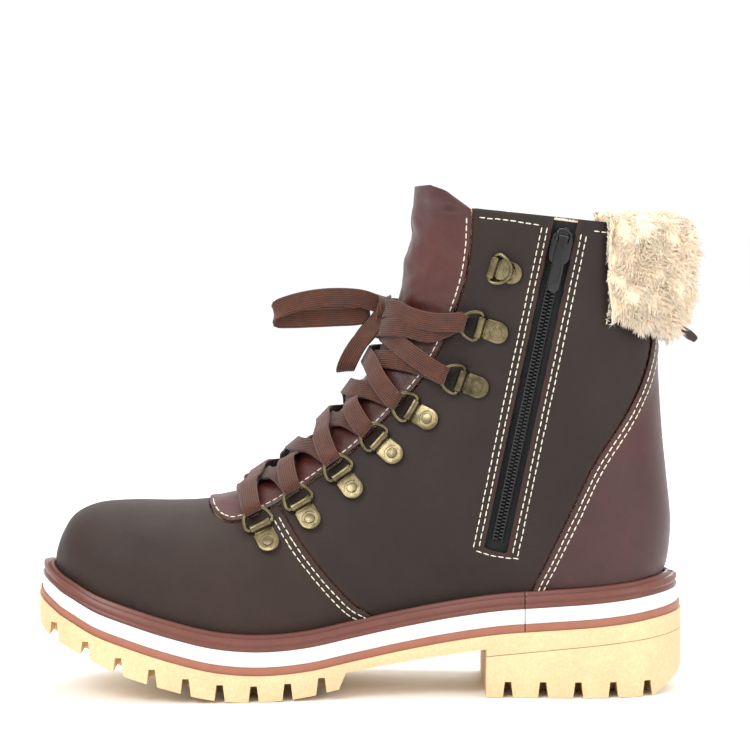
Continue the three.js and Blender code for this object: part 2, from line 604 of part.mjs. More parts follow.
const FUR_SHARE = 0.79;          // where the fur collar's ends lie along the sections
const FUR_LOW = 25.05;           // its lower row
const FUR_OFF = 1.4;             // clearance to the leather
const FUR_HIGH = COLLAR_ROW + 0.35;
function furCollar() {
  const rings = [];
  const columns = 12;
  for (let c = 0; c <= columns; c++) {
    const t = (2 * c) / columns - 1;
    const hand = t < 0 ? -1 : 1;
    const s = 1 - Math.abs(t) * (1 - FUR_SHARE);
    const thick = 7 + (FUR_THICK - 7) * (1 - Math.abs(t) ** 1.6);
    const at = (u, out) => upperPoint(u, Math.min(s, 0.999), hand)
      .addScaledVector(upperNormal(u, Math.min(s, 0.999), hand), out);
    rings.push([
      at(FUR_LOW, FUR_OFF), at(26, FUR_OFF), at(FUR_HIGH, FUR_OFF), at(FUR_HIGH + 0.12, thick * 0.5),
      at(FUR_HIGH - 0.1, thick * 0.92), at(26.3, thick), at(25.5, thick * 0.8), at(FUR_LOW, thick * 0.45),
    ]);
  }
  return loftSolid(rings, false);
}
addSolid('fur_collar', furCollar().subtract(tabSolid(GAP)), shearling);

// ---- zip -------------------------------------------------------------------------------------------
const blackTape = material(0x1c1d1f, 0.8);
const blackCoil = material(0x2a2b2d, 0.4);
const blackMetal = material(0x18191b, 0.25, 0.8);
const foot = onUpper(...zipFoot, -1);
const head = onUpper(...zipTop, -1);
const zipY = head.point.clone().sub(foot.point);
const zipLength = zipY.length();
zipY.normalize();
const zipZ = foot.normal.clone().add(head.normal).normalize();
zipZ.addScaledVector(zipY, -zipZ.dot(zipY)).normalize();
const zipX = new THREE.Vector3().crossVectors(zipY, zipZ);
const zipFrame = frameOf(zipX, zipY, zipZ, foot.point);
const box = (x0, x1, y0, y1, z0, z1) =>
  new THREE.BoxGeometry(x1 - x0, y1 - y0, z1 - z0).translate((x0 + x1) / 2, (y0 + y1) / 2, (z0 + z1) / 2);

const COIL_TOP = -0.3;           // top of the coils against the leather
const COIL_END = 1.5;            // free tape past each end of the coils
const CHANNEL_DEEP = 7;
const channelHalf = COIL_HALF + GAP;
const channel = solidFromGeometry(
  box(-channelHalf, channelHalf, COIL_END - 1, zipLength + 40, -CHANNEL_DEEP, CHANNEL_DEEP), zipFrame);
const tapeShell = hull(inside, 2, 0).subtract(hull(inside + TAPE, 3, 8, MORE));
const TAPE_BELOW = 7;
addSolid('zip_tape', tapeShell.intersect(zipStrip(TAPE_HALF, TAPE_BELOW, 40)).subtract(channel), blackTape);

const coilMiddle = GAP / 2;
for (const [name, sign] of [['zip_coil_front', -1], ['zip_coil_rear', 1]]) {
  const [near, far] = [sign * coilMiddle, sign * COIL_HALF];
  const [low, high] = [COIL_TOP - COIL_TALL, COIL_TOP];
  const profile = new THREE.Shape([
    new THREE.Vector2(near, low), new THREE.Vector2(far, low), new THREE.Vector2(far, high - 0.5),
    new THREE.Vector2(far - sign * 0.6, high), new THREE.Vector2(near, high),
  ]);
  const long = zipLength - 2 * COIL_END;
  const bar = new THREE.ExtrudeGeometry(profile, { depth: long, bevelEnabled: false });
  bar.applyMatrix4(new THREE.Matrix4().makeRotationX(Math.PI / 2)).translate(0, zipLength - COIL_END, 0);
  addSolid(name, solidFromGeometry(bar, zipFrame), blackCoil);
}

const SLIDER_REST = 9;           // middle of the slider below the top of the zip
const SLIDER_BASE = 0.2;         // underside of the slider's plate
const [sliderWide, sliderLong, sliderTall] = SLIDER;
const sliderTop = SLIDER_BASE + sliderTall;
const AXLE = [0.8, 3.9, 4];      // puller axle: radius, height, place up from the slider's middle
const LUG = [2.4, 3.5, 4.2, 2.7]; // slider lug: inner and outer X, length, height
const sliderMid = zipLength - SLIDER_REST;
function sliderSolid() {
  const half = sliderWide / 2;
  const [tail, nose] = [-sliderLong / 2, sliderLong / 2];
  const plan = new THREE.Shape([
    new THREE.Vector2(-half + 1.6, tail), new THREE.Vector2(half - 1.6, tail), new THREE.Vector2(half, tail + 2.5),
    new THREE.Vector2(half, nose - 3), new THREE.Vector2(half - 2.4, nose), new THREE.Vector2(-half + 2.4, nose),
    new THREE.Vector2(-half, nose - 3), new THREE.Vector2(-half, tail + 2.5),
  ]);
  const bevel = { bevelThickness: 0.5, bevelSize: 0.5, bevelOffset: -0.5, bevelSegments: 1 };
  const plate = new THREE.ExtrudeGeometry(plan, { depth: sliderTall - 1, ...bevel })
    .translate(0, 0, SLIDER_BASE + 0.5);
  let body = solidFromGeometry(plate);
  for (const sign of [-1, 1]) {
    const flange = [sign * (channelHalf + 0.1), sign * (half - 0.1)].sort((a, b) => a - b);
    body = body.add(solidFromGeometry(box(...flange, tail + 2, nose - 2.4, -1, SLIDER_BASE + 0.8)));
    const lug = [sign * LUG[0], sign * LUG[1]].sort((a, b) => a - b);
    const [y0, y1] = [AXLE[2] - LUG[2] / 2, AXLE[2] + LUG[2] / 2];
    body = body.add(solidFromGeometry(box(...lug, y0, y1, sliderTop - 0.3, sliderTop + LUG[3])));
  }
  return body;
}
const sliderFrame = zipFrame.clone().multiply(new THREE.Matrix4().makeTranslation(0, sliderMid, 0));
addSolid('zip_slider', sliderSolid().transform(sliderFrame.toArray()), blackMetal);

function pullerSolid() {
  const [wide, long, thick] = PULLER;
  const neck = LUG[0] - GAP;
  const half = wide / 2;
  const plan = new THREE.Shape([
    new THREE.Vector2(-neck, 0.6), new THREE.Vector2(-neck, -4), new THREE.Vector2(-half, -7),
    new THREE.Vector2(-half, -long + 2), new THREE.Vector2(-half + 1.6, -long), new THREE.Vector2(half - 1.6, -long),
    new THREE.Vector2(half, -long + 2), new THREE.Vector2(half, -7), new THREE.Vector2(neck, -4),
    new THREE.Vector2(neck, 0.6),
  ]);
  const plate = new THREE.ExtrudeGeometry(plan, { depth: thick, bevelEnabled: false })
    .translate(0, 0, -thick / 2);
  return solidFromGeometry(plate);
}
const axleFrame = sliderFrame.clone().multiply(new THREE.Matrix4().makeTranslation(0, AXLE[2], AXLE[1]));
addSolid('zip_puller', pullerSolid().transform(axleFrame.toArray()), blackMetal);

// ---- D-rings and their clips -----------------------------------------------------------------------
const brass = material(0x8a7558, 0.35, 1);
// Middle of each clip's barrel in the side view (X, Z) and the slope of its bar, from the top down.
const CLIPS = [
  [53.2, 186.2, 71], [47.8, 160.3, 72], [39.5, 136.7, 70], [18.2, 123.5, 62],
  [3.9, 109.7, 51], [-12.2, 95.8, 39], [-29.8, 83, 34], [-47.2, 73.6, 31],
];
const CLIP_OFF = 0.4;            // clip above the leather
const BORE = RING_WIRE + GAP;    // bore of the barrel
const hingeHeight = CLIP_OFF + BARREL[1];
const LACED_TILT = 20;           // degrees that a laced ring stands up from the leather
const FOLDED_TILT = 171;         // degrees of the free top ring, folded back over its plate
const HANDS = [['medial', -1], ['lateral', 1]];

// Frame of a clip: X along the bar, Y towards the lacing, Z out of the leather.
function clipFrame([x, z, slope], hand) {
  const [cx, cz] = side(x, z);
  const { point, normal } = onUpper(cx, cz, hand);
  const angle = (slope * Math.PI) / 180;
  const raw = new THREE.Vector3(Math.cos(angle), 0, Math.sin(angle)).multiplyScalar(-hand);
  const bar = raw.addScaledVector(normal, -raw.dot(normal)).normalize();
  return frameOf(bar, new THREE.Vector3().crossVectors(normal, bar), normal, point);
}

function clipSolid() {
  const [wide, long, thick] = PLATE;
  const half = wide / 2;
  const start = -BARREL[1] - 0.5;
  const plan = new THREE.Shape();
  plan.moveTo(half, 0);
  plan.lineTo(-half, 0);
  plan.lineTo(-half, start - long + half);
  plan.absarc(0, start - long + half, half, Math.PI, 2 * Math.PI, false);
  const plate = new THREE.ExtrudeGeometry(plan, { depth: thick, bevelEnabled: false, curveSegments: 6 });
  const cylinder = (r, span) => new THREE.CylinderGeometry(r, r, span, 10).rotateZ(Math.PI / 2);
  const barrel = cylinder(BARREL[1], BARREL[0]).translate(0, 0, hingeHeight);
  const bore = cylinder(BORE, BARREL[0] + 2).translate(0, 0, hingeHeight);
  const body = solidFromGeometry(plate.translate(0, 0, CLIP_OFF)).add(solidFromGeometry(barrel));
  return body.subtract(solidFromGeometry(bore));
}

function ringSolid() {
  const path = [];
  for (let k = 0; k <= 8; k++) {
    const a = (k * Math.PI) / 8;
    path.push(new THREE.Vector3(RING_HALF * Math.cos(a), RING_REACH * Math.sin(a) ** 0.85, 0));
  }
  path.push(new THREE.Vector3(-RING_HALF / 3, 0, 0), new THREE.Vector3(RING_HALF / 3, 0, 0));
  return tubeSolid(path, RING_WIRE, 6, true);
}

const ringFrame = (clip, tilt) => clip.clone()
  .multiply(new THREE.Matrix4().makeTranslation(0, 0, hingeHeight))
  .multiply(new THREE.Matrix4().makeRotationX((tilt * Math.PI) / 180));
const oneClip = clipSolid();
const oneRing = ringSolid();
const places = { medial: [], lateral: [] };
for (const [sideName, hand] of HANDS) {
  CLIPS.forEach((row, i) => {
    const frame = clipFrame(row, hand);
    const tilt = i === 0 ? FOLDED_TILT : LACED_TILT;
    places[sideName].push({ frame, ring: ringFrame(frame, tilt) });
    addSolid(`clip_${sideName}_${i + 1}`, oneClip.transform(frame.toArray()), brass);
    addSolid(`ring_${sideName}_${i + 1}`, oneRing.transform(ringFrame(frame, tilt).toArray()), brass);
  });
}

// ---- lace ------------------------------------------------------------------------------------------
const laceCloth = material(0x4f3128, 0.85);
const LACE_SIDES = 6;
const WRAP = RING_WIRE + LACE_R + 1.1;   // radius of the lace's turn round a ring's bow
const LEG_HEIGHT = 3.5;                  // middle of a crossing leg above the tongue
const CROSS = 1.45;                      // half the distance of two legs where they cross

// The lace's turn round a ring's bow, from above the wire to below it.
function ringTurn({ ring }) {
  const up = new THREE.Vector3().setFromMatrixColumn(ring, 2);
  const out = new THREE.Vector3().setFromMatrixColumn(ring, 1);
  const wire = new THREE.Vector3(0, RING_REACH, 0).applyMatrix4(ring);
  return [50, 115, 180, 245, 310].map((deg) => {
    const a = (deg * Math.PI) / 180;
    return wire.clone().addScaledVector(out, WRAP * Math.cos(a)).addScaledVector(up, WRAP * Math.sin(a));
  });
}

const placeOf = ({ ring }) => {
  const tip = new THREE.Vector3(0, RING_REACH + 2.5, 0).applyMatrix4(ring);
  return locate(tip.x, tip.z);
};
const raised = (u, s, hand, height) =>
  upperPoint(u, s, hand).addScaledVector(upperNormal(u, s, hand), height);
const ridge = (u, height) => {
  const normal = upperNormal(u, 0.002, -1).add(upperNormal(u, 0.002, 1)).normalize();
  return upperPoint(u, 0, 1).addScaledVector(normal, height);
};

// Row whose ridge point lies nearest to a ring, seen from the side.
function ridgeRow({ ring }) {
  const tip = new THREE.Vector3(0, RING_REACH, 0).applyMatrix4(ring);
  let [best, least] = [0, Infinity];
  for (let u = 4; u < COLLAR_ROW; u += 0.1) {
    const { tx, tz } = section(u);
    const far = Math.hypot(tx - tip.x, tz - tip.z);
    if (far < least) [best, least] = [u, far];
  }
  return best;
}

// One leg from a ring over the ridge to the next ring on the other side.
function leg(from, to, hand, lift, lower) {
  const [u0, s0] = placeOf(from);
  const [u1, s1] = placeOf(to);
  const mid = (ridgeRow(from) + ridgeRow(to)) / 2 - lower;
  const at = (u, s, hand1, share, height) => raised(u * share + mid * (1 - share), s * share, hand1, height);
  return [
    at(u0, s0, hand, 0.7, LEG_HEIGHT),
    at(u0, s0, hand, 0.35, LEG_HEIGHT + lift * 0.6),
    at(u0, s0, hand, 0.13, LEG_HEIGHT + lift),
    ridge(mid, LEG_HEIGHT + lift),
    at(u1, s1, -hand, 0.13, LEG_HEIGHT + lift),
    at(u1, s1, -hand, 0.33, LEG_HEIGHT + 0.8 + lift * 0.6),
    at(u1, s1, -hand, 0.65, LEG_HEIGHT + 2.6),
  ];
}

const KNOT = { middle: [6.2, 167], half: [3.2, 5, 4.4], row: 18.5, clear: 1.5 };
const [knotX, knotZ] = side(...KNOT.middle);
const knotY = middle(knotX);
const FIRST_LACED = 1;
const LAST_LACED = CLIPS.length - 1;
function lacedRun(startHand, lift) {
  const rings = { '-1': places.medial, 1: places.lateral };
  let hand = startHand;
  const [u, s] = placeOf(rings[hand][FIRST_LACED]);
  const leave = new THREE.Vector3(knotX, knotY + hand * (KNOT.half[1] + GAP + 0.2), knotZ);
  const first = KNOT.row;
  const route = [leave];
  for (const share of [0.12, 0.36, 0.7]) {
    route.push(raised(first + (u - first) * share, s * share, hand, 4.6));
  }
  for (let i = FIRST_LACED; i <= LAST_LACED; i++) {
    route.push(...ringTurn(rings[hand][i]));
    if (i < LAST_LACED) {
      const clear = i === FIRST_LACED ? KNOT.clear / STRETCH_Z : 0;
      route.push(...leg(rings[hand][i], rings[-hand][i + 1], hand, lift, clear));
      hand = -hand;
    }
  }
  const last = rings[hand][LAST_LACED];
  const [uEnd, sEnd] = placeOf(last);
  const row = ridgeRow(last);
  for (const share of [0.65, 0.3]) route.push(raised(row + (uEnd - row) * share, sEnd * share, hand, 2.2));
  return { route, row };
}
const down = lacedRun(-1, CROSS);
const back = lacedRun(1, -CROSS);
const laceRoute = [...down.route, ridge(down.row, 2.2), ...back.route.reverse()];
addSolid('lace_crossings', tubeSolid(laceRoute, LACE_R, LACE_SIDES, false), laceCloth);

const knotBall = new THREE.SphereGeometry(1, 10, 8).scale(...KNOT.half).translate(knotX, knotY, knotZ);
addSolid('lace_knot', solidFromGeometry(knotBall), laceCloth);

// Routes of the two ends of the bow, from the knot: each a loop and then the free end.
const FRONT_BOW = [
  [2, 1.5, 169.4], [-3, -1, 171.2], [-12, -5, 173], [-23, -8.5, 173], [-34, -11, 170.6], [-41, -12, 166.6],
  [-41.5, -10, 163.2], [-36, -7.5, 162], [-26, -5, 162], [-15, -2.5, 162.6], [-6, 0, 163.6], [-1.2, 2.6, 164.8],
  [-1, 5.4, 166.2], [-5, 7.6, 167.2], [-13, 9, 167.8], [-22, 10, 167.4], [-31, 10.8, 165.6], [-38, 11.4, 162.8],
];
const HANGING_BOW = [
  [3, -1.5, 161.8], [-0.8, -3.6, 157], [-5.4, -4.8, 151.4], [-8.6, -4.6, 146], [-10.6, -2.6, 141.6],
  [-11.2, 1.2, 139.4], [-10.4, 5, 141.2], [-8.2, 7.9, 145.6], [-5.2, 10, 150.8], [-1, 11.6, 156.2],
  [3.4, 13.4, 160.8], [7.8, 16.8, 163], [11.6, 21.6, 162], [14, 26, 157.6], [15.4, 30.4, 151],
  [17.2, 33.2, 144], [19.4, 34.8, 137],
];
for (const [name, route] of [['lace_bow_front', FRONT_BOW], ['lace_bow_hanging', HANGING_BOW]]) {
  const points = route.map(([x, y, z]) => new THREE.Vector3(side(x, 0)[0], y * STRETCH_Y, side(0, z)[1]));
  const path = new THREE.CatmullRomCurve3(points, false, 'centripetal');
  const across = new THREE.Shape(Array.from({ length: LACE_SIDES }, (_, k) => {
    const a = (2 * Math.PI * k) / LACE_SIDES;
    return new THREE.Vector2(LACE_R * Math.cos(a), LACE_R * Math.sin(a));
  }));
  const steps = 2 * (route.length - 1);
  const cord = new THREE.ExtrudeGeometry(across, { steps, bevelEnabled: false, extrudePath: path });
  addSolid(name, solidFromGeometry(cord), laceCloth);
}

export default boot;
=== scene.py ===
"""Insulated lace-up winter boot: leather, sole, zip, lacing and shearling, built round the boot's frame."""

import json
import math
import random

import bmesh
import bpy
import numpy as np
from mathutils import Matrix, Vector, noise
from mathutils.bvhtree import BVHTree

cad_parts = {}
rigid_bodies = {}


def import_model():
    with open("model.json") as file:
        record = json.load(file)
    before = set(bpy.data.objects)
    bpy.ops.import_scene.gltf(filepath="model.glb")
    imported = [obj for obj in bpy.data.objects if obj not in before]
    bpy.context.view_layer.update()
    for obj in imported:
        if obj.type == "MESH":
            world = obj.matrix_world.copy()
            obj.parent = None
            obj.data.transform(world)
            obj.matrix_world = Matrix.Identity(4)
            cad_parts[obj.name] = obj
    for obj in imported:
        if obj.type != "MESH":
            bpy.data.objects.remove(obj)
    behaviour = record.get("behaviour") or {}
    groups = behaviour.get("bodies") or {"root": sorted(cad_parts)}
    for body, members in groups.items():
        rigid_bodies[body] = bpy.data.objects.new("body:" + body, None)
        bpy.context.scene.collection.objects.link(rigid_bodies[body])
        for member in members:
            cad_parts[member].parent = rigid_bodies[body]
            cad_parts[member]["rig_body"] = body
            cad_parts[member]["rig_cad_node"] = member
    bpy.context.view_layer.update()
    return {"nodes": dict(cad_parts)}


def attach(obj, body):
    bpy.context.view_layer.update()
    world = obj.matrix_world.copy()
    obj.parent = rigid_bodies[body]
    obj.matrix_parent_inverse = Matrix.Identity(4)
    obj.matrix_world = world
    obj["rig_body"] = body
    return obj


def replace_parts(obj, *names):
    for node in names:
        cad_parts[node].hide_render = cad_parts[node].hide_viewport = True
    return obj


bl_info = {
    "name": "Insulated boot",
    "version": (1, 0, 0),
    "blender": (4, 5, 0),
    "location": "View3D > Sidebar > Boot",
    "description": "Builds the visible pieces of an insulated lace-up boot",
    "category": "Add Mesh",
}

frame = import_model()
MM = 0.001
HANDS = {"medial": -1, "lateral": 1}
rng = random.Random(7)


# ---- settings a user would change ------------------------------------------------------------------
def millimetres(name, description, default, low=0.0):
    return bpy.props.FloatProperty(name=name, description=description, default=default, min=low, unit="NONE")


def colour(name, description, default):
    return bpy.props.FloatVectorProperty(
        name=name, description=description, default=default, subtype="COLOR", min=0, max=1)


class BootSizes(bpy.types.PropertyGroup):
    """Sizes of the visible pieces, in millimetres."""
    leather: millimetres("Leather", "Thickness of the upper leather", 1.9)
    lift: millimetres("Overlap", "How far a top panel stands above the one below", 1.0)
    stitch: millimetres("Stitch", "Length of one stitch", 2.5)
    stitch_pitch: millimetres("Stitch pitch", "From one stitch to the next", 3.3)
    thread: millimetres("Thread", "Thickness of the sewing thread", 0.62)
    lace_width: millimetres("Lace width", "Width of the flat lace", 8.2)
    lace_thick: millimetres("Lace thickness", "Thickness of the flat lace", 1.3)
    tuft: millimetres("Tuft", "Length of a tuft of the fur collar", 5.0)
    wire: millimetres("Ring wire", "Radius of the wire of a D-ring", 0.9)


class BootColours(bpy.types.PropertyGroup):
    """Colours of the finishes, as a swatch card gives them."""
    vamp: colour("Vamp", "Oiled nubuck of the vamp", (0.190, 0.132, 0.106))
    quarter: colour("Quarter", "Oiled nubuck of the quarters", (0.155, 0.110, 0.092))
    red: colour("Red leather", "Smooth leather of the tongue and heel", (0.250, 0.090, 0.062))
    shearling: colour("Shearling", "Pile of the collar and lining", (1.0, 0.90, 0.785))
    crepe: colour("Crepe", "Crepe rubber of the sole", (0.865, 0.75, 0.58))
    rust: colour("Rust strip", "Lower rubber strip", (0.63, 0.395, 0.31))
    white: colour("White strip", "Middle rubber strip", (0.97, 0.965, 0.955))
    welt: colour("Welt", "Ribbed rubber welt", (0.43, 0.24, 0.195))
    lace: colour("Lace", "Flat woven lace", (0.36, 0.21, 0.155))
    thread: colour("Thread", "Sewing thread", (0.90, 0.845, 0.77))
    brass: colour("Brass", "Antique brass of the rings and clips", (0.44, 0.40, 0.30))
    black: colour("Zip black", "Tape, coils and slider of the zip", (0.045, 0.047, 0.052))


def sizes():
    return bpy.context.scene.boot_sizes


def colours():
    return bpy.context.scene.boot_colours


# ---- materials -------------------------------------------------------------------------------------
def linear(shade):
    return tuple(c / 12.92 if c <= 0.04045 else ((c + 0.055) / 1.055) ** 2.4 for c in shade) + (1.0,)


def tinted(shade, factor):
    return tuple(min(max(c * factor, 0.0), 1.0) for c in shade)


class Wire:
    """A value on its way through a material, so that its maths reads as an expression."""

    def __init__(self, paint, socket):
        self.paint, self.socket = paint, socket

    def maths(self, operation, *values):
        return self.paint.node("ShaderNodeMath", {"operation": operation}, list(values))["Value"]

    def __add__(self, other):
        return self.maths("ADD", self, other)

    __radd__ = __add__

    def __sub__(self, other):
        return self.maths("SUBTRACT", self, other)

    def __rsub__(self, other):
        return self.maths("SUBTRACT", other, self)

    def __mul__(self, other):
        return self.maths("MULTIPLY", self, other)

    __rmul__ = __mul__

    def sine(self):
        return self.maths("SINE", self)

    def between(self, low, high):
        """0 below low, 1 above high, and a straight run between."""
        inputs = {"Value": self, "From Min": low, "From Max": high}
        return self.paint.node("ShaderNodeMapRange", {"clamp": True}, inputs)["Result"]


class Node:
    def __init__(self, paint, node):
        self.paint, self.node = paint, node

    def __getitem__(self, name):
        return Wire(self.paint, self.node.outputs[name])


class Paint:
    """One material, its nodes and its shader."""

    def __init__(self, name, **constants):
        self.material = bpy.data.materials.new(name)
        self.material.use_nodes = True
        self.tree = self.material.node_tree
        self.shader = next(n for n in self.tree.nodes if n.type == "BSDF_PRINCIPLED")
        for socket, value in constants.items():
            self.shader.inputs[socket.replace("_", " ")].default_value = value

    def node(self, kind, settings=None, inputs=None):
        made = self.tree.nodes.new(kind)
        for key, value in (settings or {}).items():
            setattr(made, key, value)
        pairs = inputs.items() if isinstance(inputs, dict) else enumerate(inputs or [])
        for key, value in pairs:
            if isinstance(value, Wire):
                self.tree.links.new(value.socket, made.inputs[key])
            else:
                made.inputs[key].default_value = value
        return Node(self, made)

    def place(self):
        return self.node("ShaderNodeTexCoord")["Object"]

    def attribute(self, name):
        return self.node("ShaderNodeAttribute", {"attribute_name": name})["Fac"]

    def noise(self, scale, detail=3.0, roughness=0.55, stretch=None):
        where = self.place()
        if stretch:
            where = self.node("ShaderNodeMapping", None, {"Vector": where, "Scale": stretch})["Vector"]
        inputs = {"Vector": where, "Scale": scale, "Detail": detail, "Roughness": roughness}
        return self.node("ShaderNodeTexNoise", None, inputs)["Fac"]

    def cells(self, scale):
        inputs = {"Vector": self.place(), "Scale": scale}
        return self.node("ShaderNodeTexVoronoi", {"feature": "F1"}, inputs)["Distance"]

    def blend(self, factor, first, second):
        inputs = {"Factor": factor, "A": first, "B": second}
        mix = self.node("ShaderNodeMix", {"data_type": "RGBA"})
        for key, value in inputs.items():
            wanted = "VALUE" if key == "Factor" else "RGBA"
            socket = next(s for s in mix.node.inputs if s.name == key and s.type == wanted)
            if isinstance(value, Wire):
                self.tree.links.new(value.socket, socket)
            else:
                socket.default_value = value
        return Wire(self, next(s for s in mix.node.outputs if s.type == "RGBA"))

    def bump(self, height, distance, strength=1.0):
        inputs = {"Height": height, "Distance": distance, "Strength": strength}
        return self.node("ShaderNodeBump", None, inputs)["Normal"]

    def finish(self, **links):
        for socket, value in links.items():
            target = self.shader.inputs[socket.replace("_", " ")]
            if isinstance(value, Wire):
                self.tree.links.new(value.socket, target)
            else:
                target.default_value = value
        return self.material


def nubuck(name, shade):
    """Oiled nubuck: a soft mottled nap that pales where it has been rubbed."""
    paint = Paint(name, Sheen_Weight=0.03, Sheen_Roughness=0.45, Specular_IOR_Level=0.3)
    clouds = paint.noise(26, 4, 0.6)
    rubs = paint.noise(75, 5, 0.68, (1.0, 1.0, 0.55))
    nap = paint.noise(900, 3, 0.7)
    base = paint.blend(clouds.between(0.3, 0.72), linear(tinted(shade, 0.80)), linear(tinted(shade, 1.12)))
    rubbed = paint.blend(rubs.between(0.60, 0.86) * 0.5, base, linear(tinted(shade, 1.45)))
    edge = 1 - paint.attribute("edge").between(0.2, 2.6)
    worn = paint.blend(edge * 0.55, rubbed, linear((0.26, 0.145, 0.11)))
    final = paint.blend(nap.between(0.35, 0.7) * 0.22, worn, linear(tinted(shade, 0.62)))
    height = nap * 0.6 + paint.cells(1500) * 0.6 + rubs * 0.8
    return paint.finish(
        Base_Color=final, Roughness=0.5 + rubs * 0.16 + clouds * 0.06,
        Normal=paint.bump(height, 0.00016, 0.75))


def smooth_leather(name, shade, crease=0.5):
    """Smooth full-grain leather with fine pores and faint creases."""
    paint = Paint(name, Coat_Roughness=0.38, Specular_IOR_Level=0.46, Coat_Weight=0.10)
    clouds = paint.noise(30, 4, 0.6)
    pores = paint.cells(1250)
    folds = paint.noise(150, 5, 0.62, (1.0, 1.0, 2.6))
    base = paint.blend(clouds.between(0.3, 0.72), linear(tinted(shade, 0.80)), linear(tinted(shade, 1.16)))
    pored = paint.blend(pores.between(0.0, 0.45), linear(tinted(shade, 0.62)), base)
    edge = 1 - paint.attribute("edge").between(0.15, 1.0)
    final = paint.blend(edge * 0.5, pored, linear(tinted(shade, 0.62)))
    height = pores * 0.5 + folds * crease * 2.2
    return paint.finish(
        Base_Color=final, Roughness=0.36 + folds * 0.16, Normal=paint.bump(height, 0.0002, 0.6))


def crepe_rubber(name, shade):
    """Crepe rubber: a milky body full of pale and amber grains."""
    paint = Paint(name, Subsurface_Weight=0.12, Subsurface_Scale=0.004, Specular_IOR_Level=0.4)
    grains = paint.cells(900)
    crumbs = paint.noise(420, 5, 0.75)
    drift = paint.noise(40, 3, 0.5)
    base = paint.blend(drift.between(0.3, 0.7), linear(tinted(shade, 0.97)), linear(tinted(shade, 1.04)))
    amber = paint.blend(crumbs.between(0.46, 0.70) * 0.35, base, linear((0.80, 0.66, 0.45)))
    final = paint.blend(grains.between(0.52, 0.80) * 0.16, amber, linear((0.95, 0.89, 0.76)))
    return paint.finish(
        Base_Color=final, Roughness=0.58 + crumbs * 0.14,
        Normal=paint.bump(crumbs + grains * 0.5, 0.00022, 0.5))


def strip_rubber(name, shade, roughness=0.4):
    """Extruded rubber with faint drawn lines and dust."""
    paint = Paint(name, Specular_IOR_Level=0.45)
    dust = paint.noise(130, 4, 0.65)
    lines = paint.noise(60, 2, 0.5, (0.2, 0.2, 16.0))
    dull, fresh = linear(tinted(shade, 0.93)), linear(tinted(shade, 1.07))
    final = paint.blend(dust.between(0.35, 0.75) * 0.5, dull, fresh)
    return paint.finish(
        Base_Color=final, Roughness=roughness + dust * 0.16,
        Normal=paint.bump(lines + dust * 0.3, 0.0001, 0.35))


def pile(name, shade):
    """Shearling pile, with painted shade deep in its curls."""
    paint = Paint(name, Sheen_Weight=0.5, Sheen_Roughness=0.6, Subsurface_Weight=0.10, Subsurface_Scale=0.004)
    curls = paint.noise(190, 4, 0.6)
    hairs = paint.noise(1500, 2, 0.6, (1.0, 1.0, 0.45))
    depth = paint.attribute("depth")
    base = paint.blend(curls.between(0.32, 0.68), linear(tinted(shade, 0.97)), linear(tinted(shade, 1.03)))
    # Painted shade: the pile takes the darker colour where its depth mark is low, deep between curls and at
    # the roots of its locks.
    final = paint.blend(depth.between(0.0, 1.0), linear((0.97, 0.87, 0.74)), base)
    return paint.finish(Base_Color=final, Roughness=0.92, Normal=paint.bump(hairs + curls, 0.0006, 0.6))


def cloth(name, shade, scale=900, roughness=0.85):
    """Plain woven or felted cloth."""
    paint = Paint(name, Sheen_Weight=0.25, Sheen_Roughness=0.5)
    weave = paint.noise(scale, 2, 0.5)
    drift = paint.noise(60, 3, 0.5)
    final = paint.blend(weave.between(0.35, 0.65), linear(tinted(shade, 0.8)), linear(tinted(shade, 1.15)))
    return paint.finish(
        Base_Color=final, Roughness=roughness + drift * 0.08, Normal=paint.bump(weave, 0.0003, 0.7))


def woven_lace(name, shade):
    """Flat lace: ribs along it, with painted shade in the grooves between them, crossed by the picks of the
    weave.
    """
    paint = Paint(name, Sheen_Weight=0.3, Sheen_Roughness=0.4, Specular_IOR_Level=0.3)
    across, along = paint.attribute("across"), paint.attribute("along")
    ribs = (across * (9 * 2 * math.pi)).sine() * 0.5 + 0.5
    picks = ((along * (2 * math.pi / 0.95)) + (across * (9 * math.pi)).sine() * 1.5).sine() * 0.5 + 0.5
    drift = paint.noise(220, 3, 0.6)
    # Painted shade across the ribs: darker in the grooves between them, paler on their tops.
    body = paint.blend(ribs, linear(tinted(shade, 0.52)), linear(tinted(shade, 1.08)))
    final = paint.blend(picks * 0.34, body, linear(tinted(shade, 0.42)))
    aged = paint.blend(drift.between(0.4, 0.8) * 0.3, final, linear(tinted(shade, 1.35)))
    return paint.finish(
        Base_Color=aged, Roughness=0.72 + drift * 0.12, Normal=paint.bump(ribs + picks * 0.5, 0.00022, 0.8))


def antique_brass(name, shade):
    """Antique brass, darker and rubbed bright in random patches."""
    paint = Paint(name)
    stain = paint.noise(260, 5, 0.7)
    rub = paint.noise(70, 3, 0.5)
    mask = (stain * 0.7 + rub * 0.5).between(0.42, 0.72)
    final = paint.blend(mask, linear(tinted(shade, 0.62)), linear(tinted(shade, 1.1)))
    return paint.finish(
        Base_Color=final, Metallic=1.0, Roughness=0.40 - mask * 0.14, Normal=paint.bump(stain, 0.00004, 0.4))


def plain_finish(name, shade, roughness, metallic=0.0, grain=700):
    """Moulded or pressed material with a fine tooth."""
    paint = Paint(name)
    tooth = paint.noise(grain, 4, 0.6)
    final = paint.blend(tooth.between(0.3, 0.7), linear(tinted(shade, 0.85)), linear(tinted(shade, 1.12)))
    return paint.finish(
        Base_Color=final, Metallic=metallic, Roughness=roughness + tooth * 0.12,
        Normal=paint.bump(tooth, 0.0001, 0.4))


FINISHES = {}


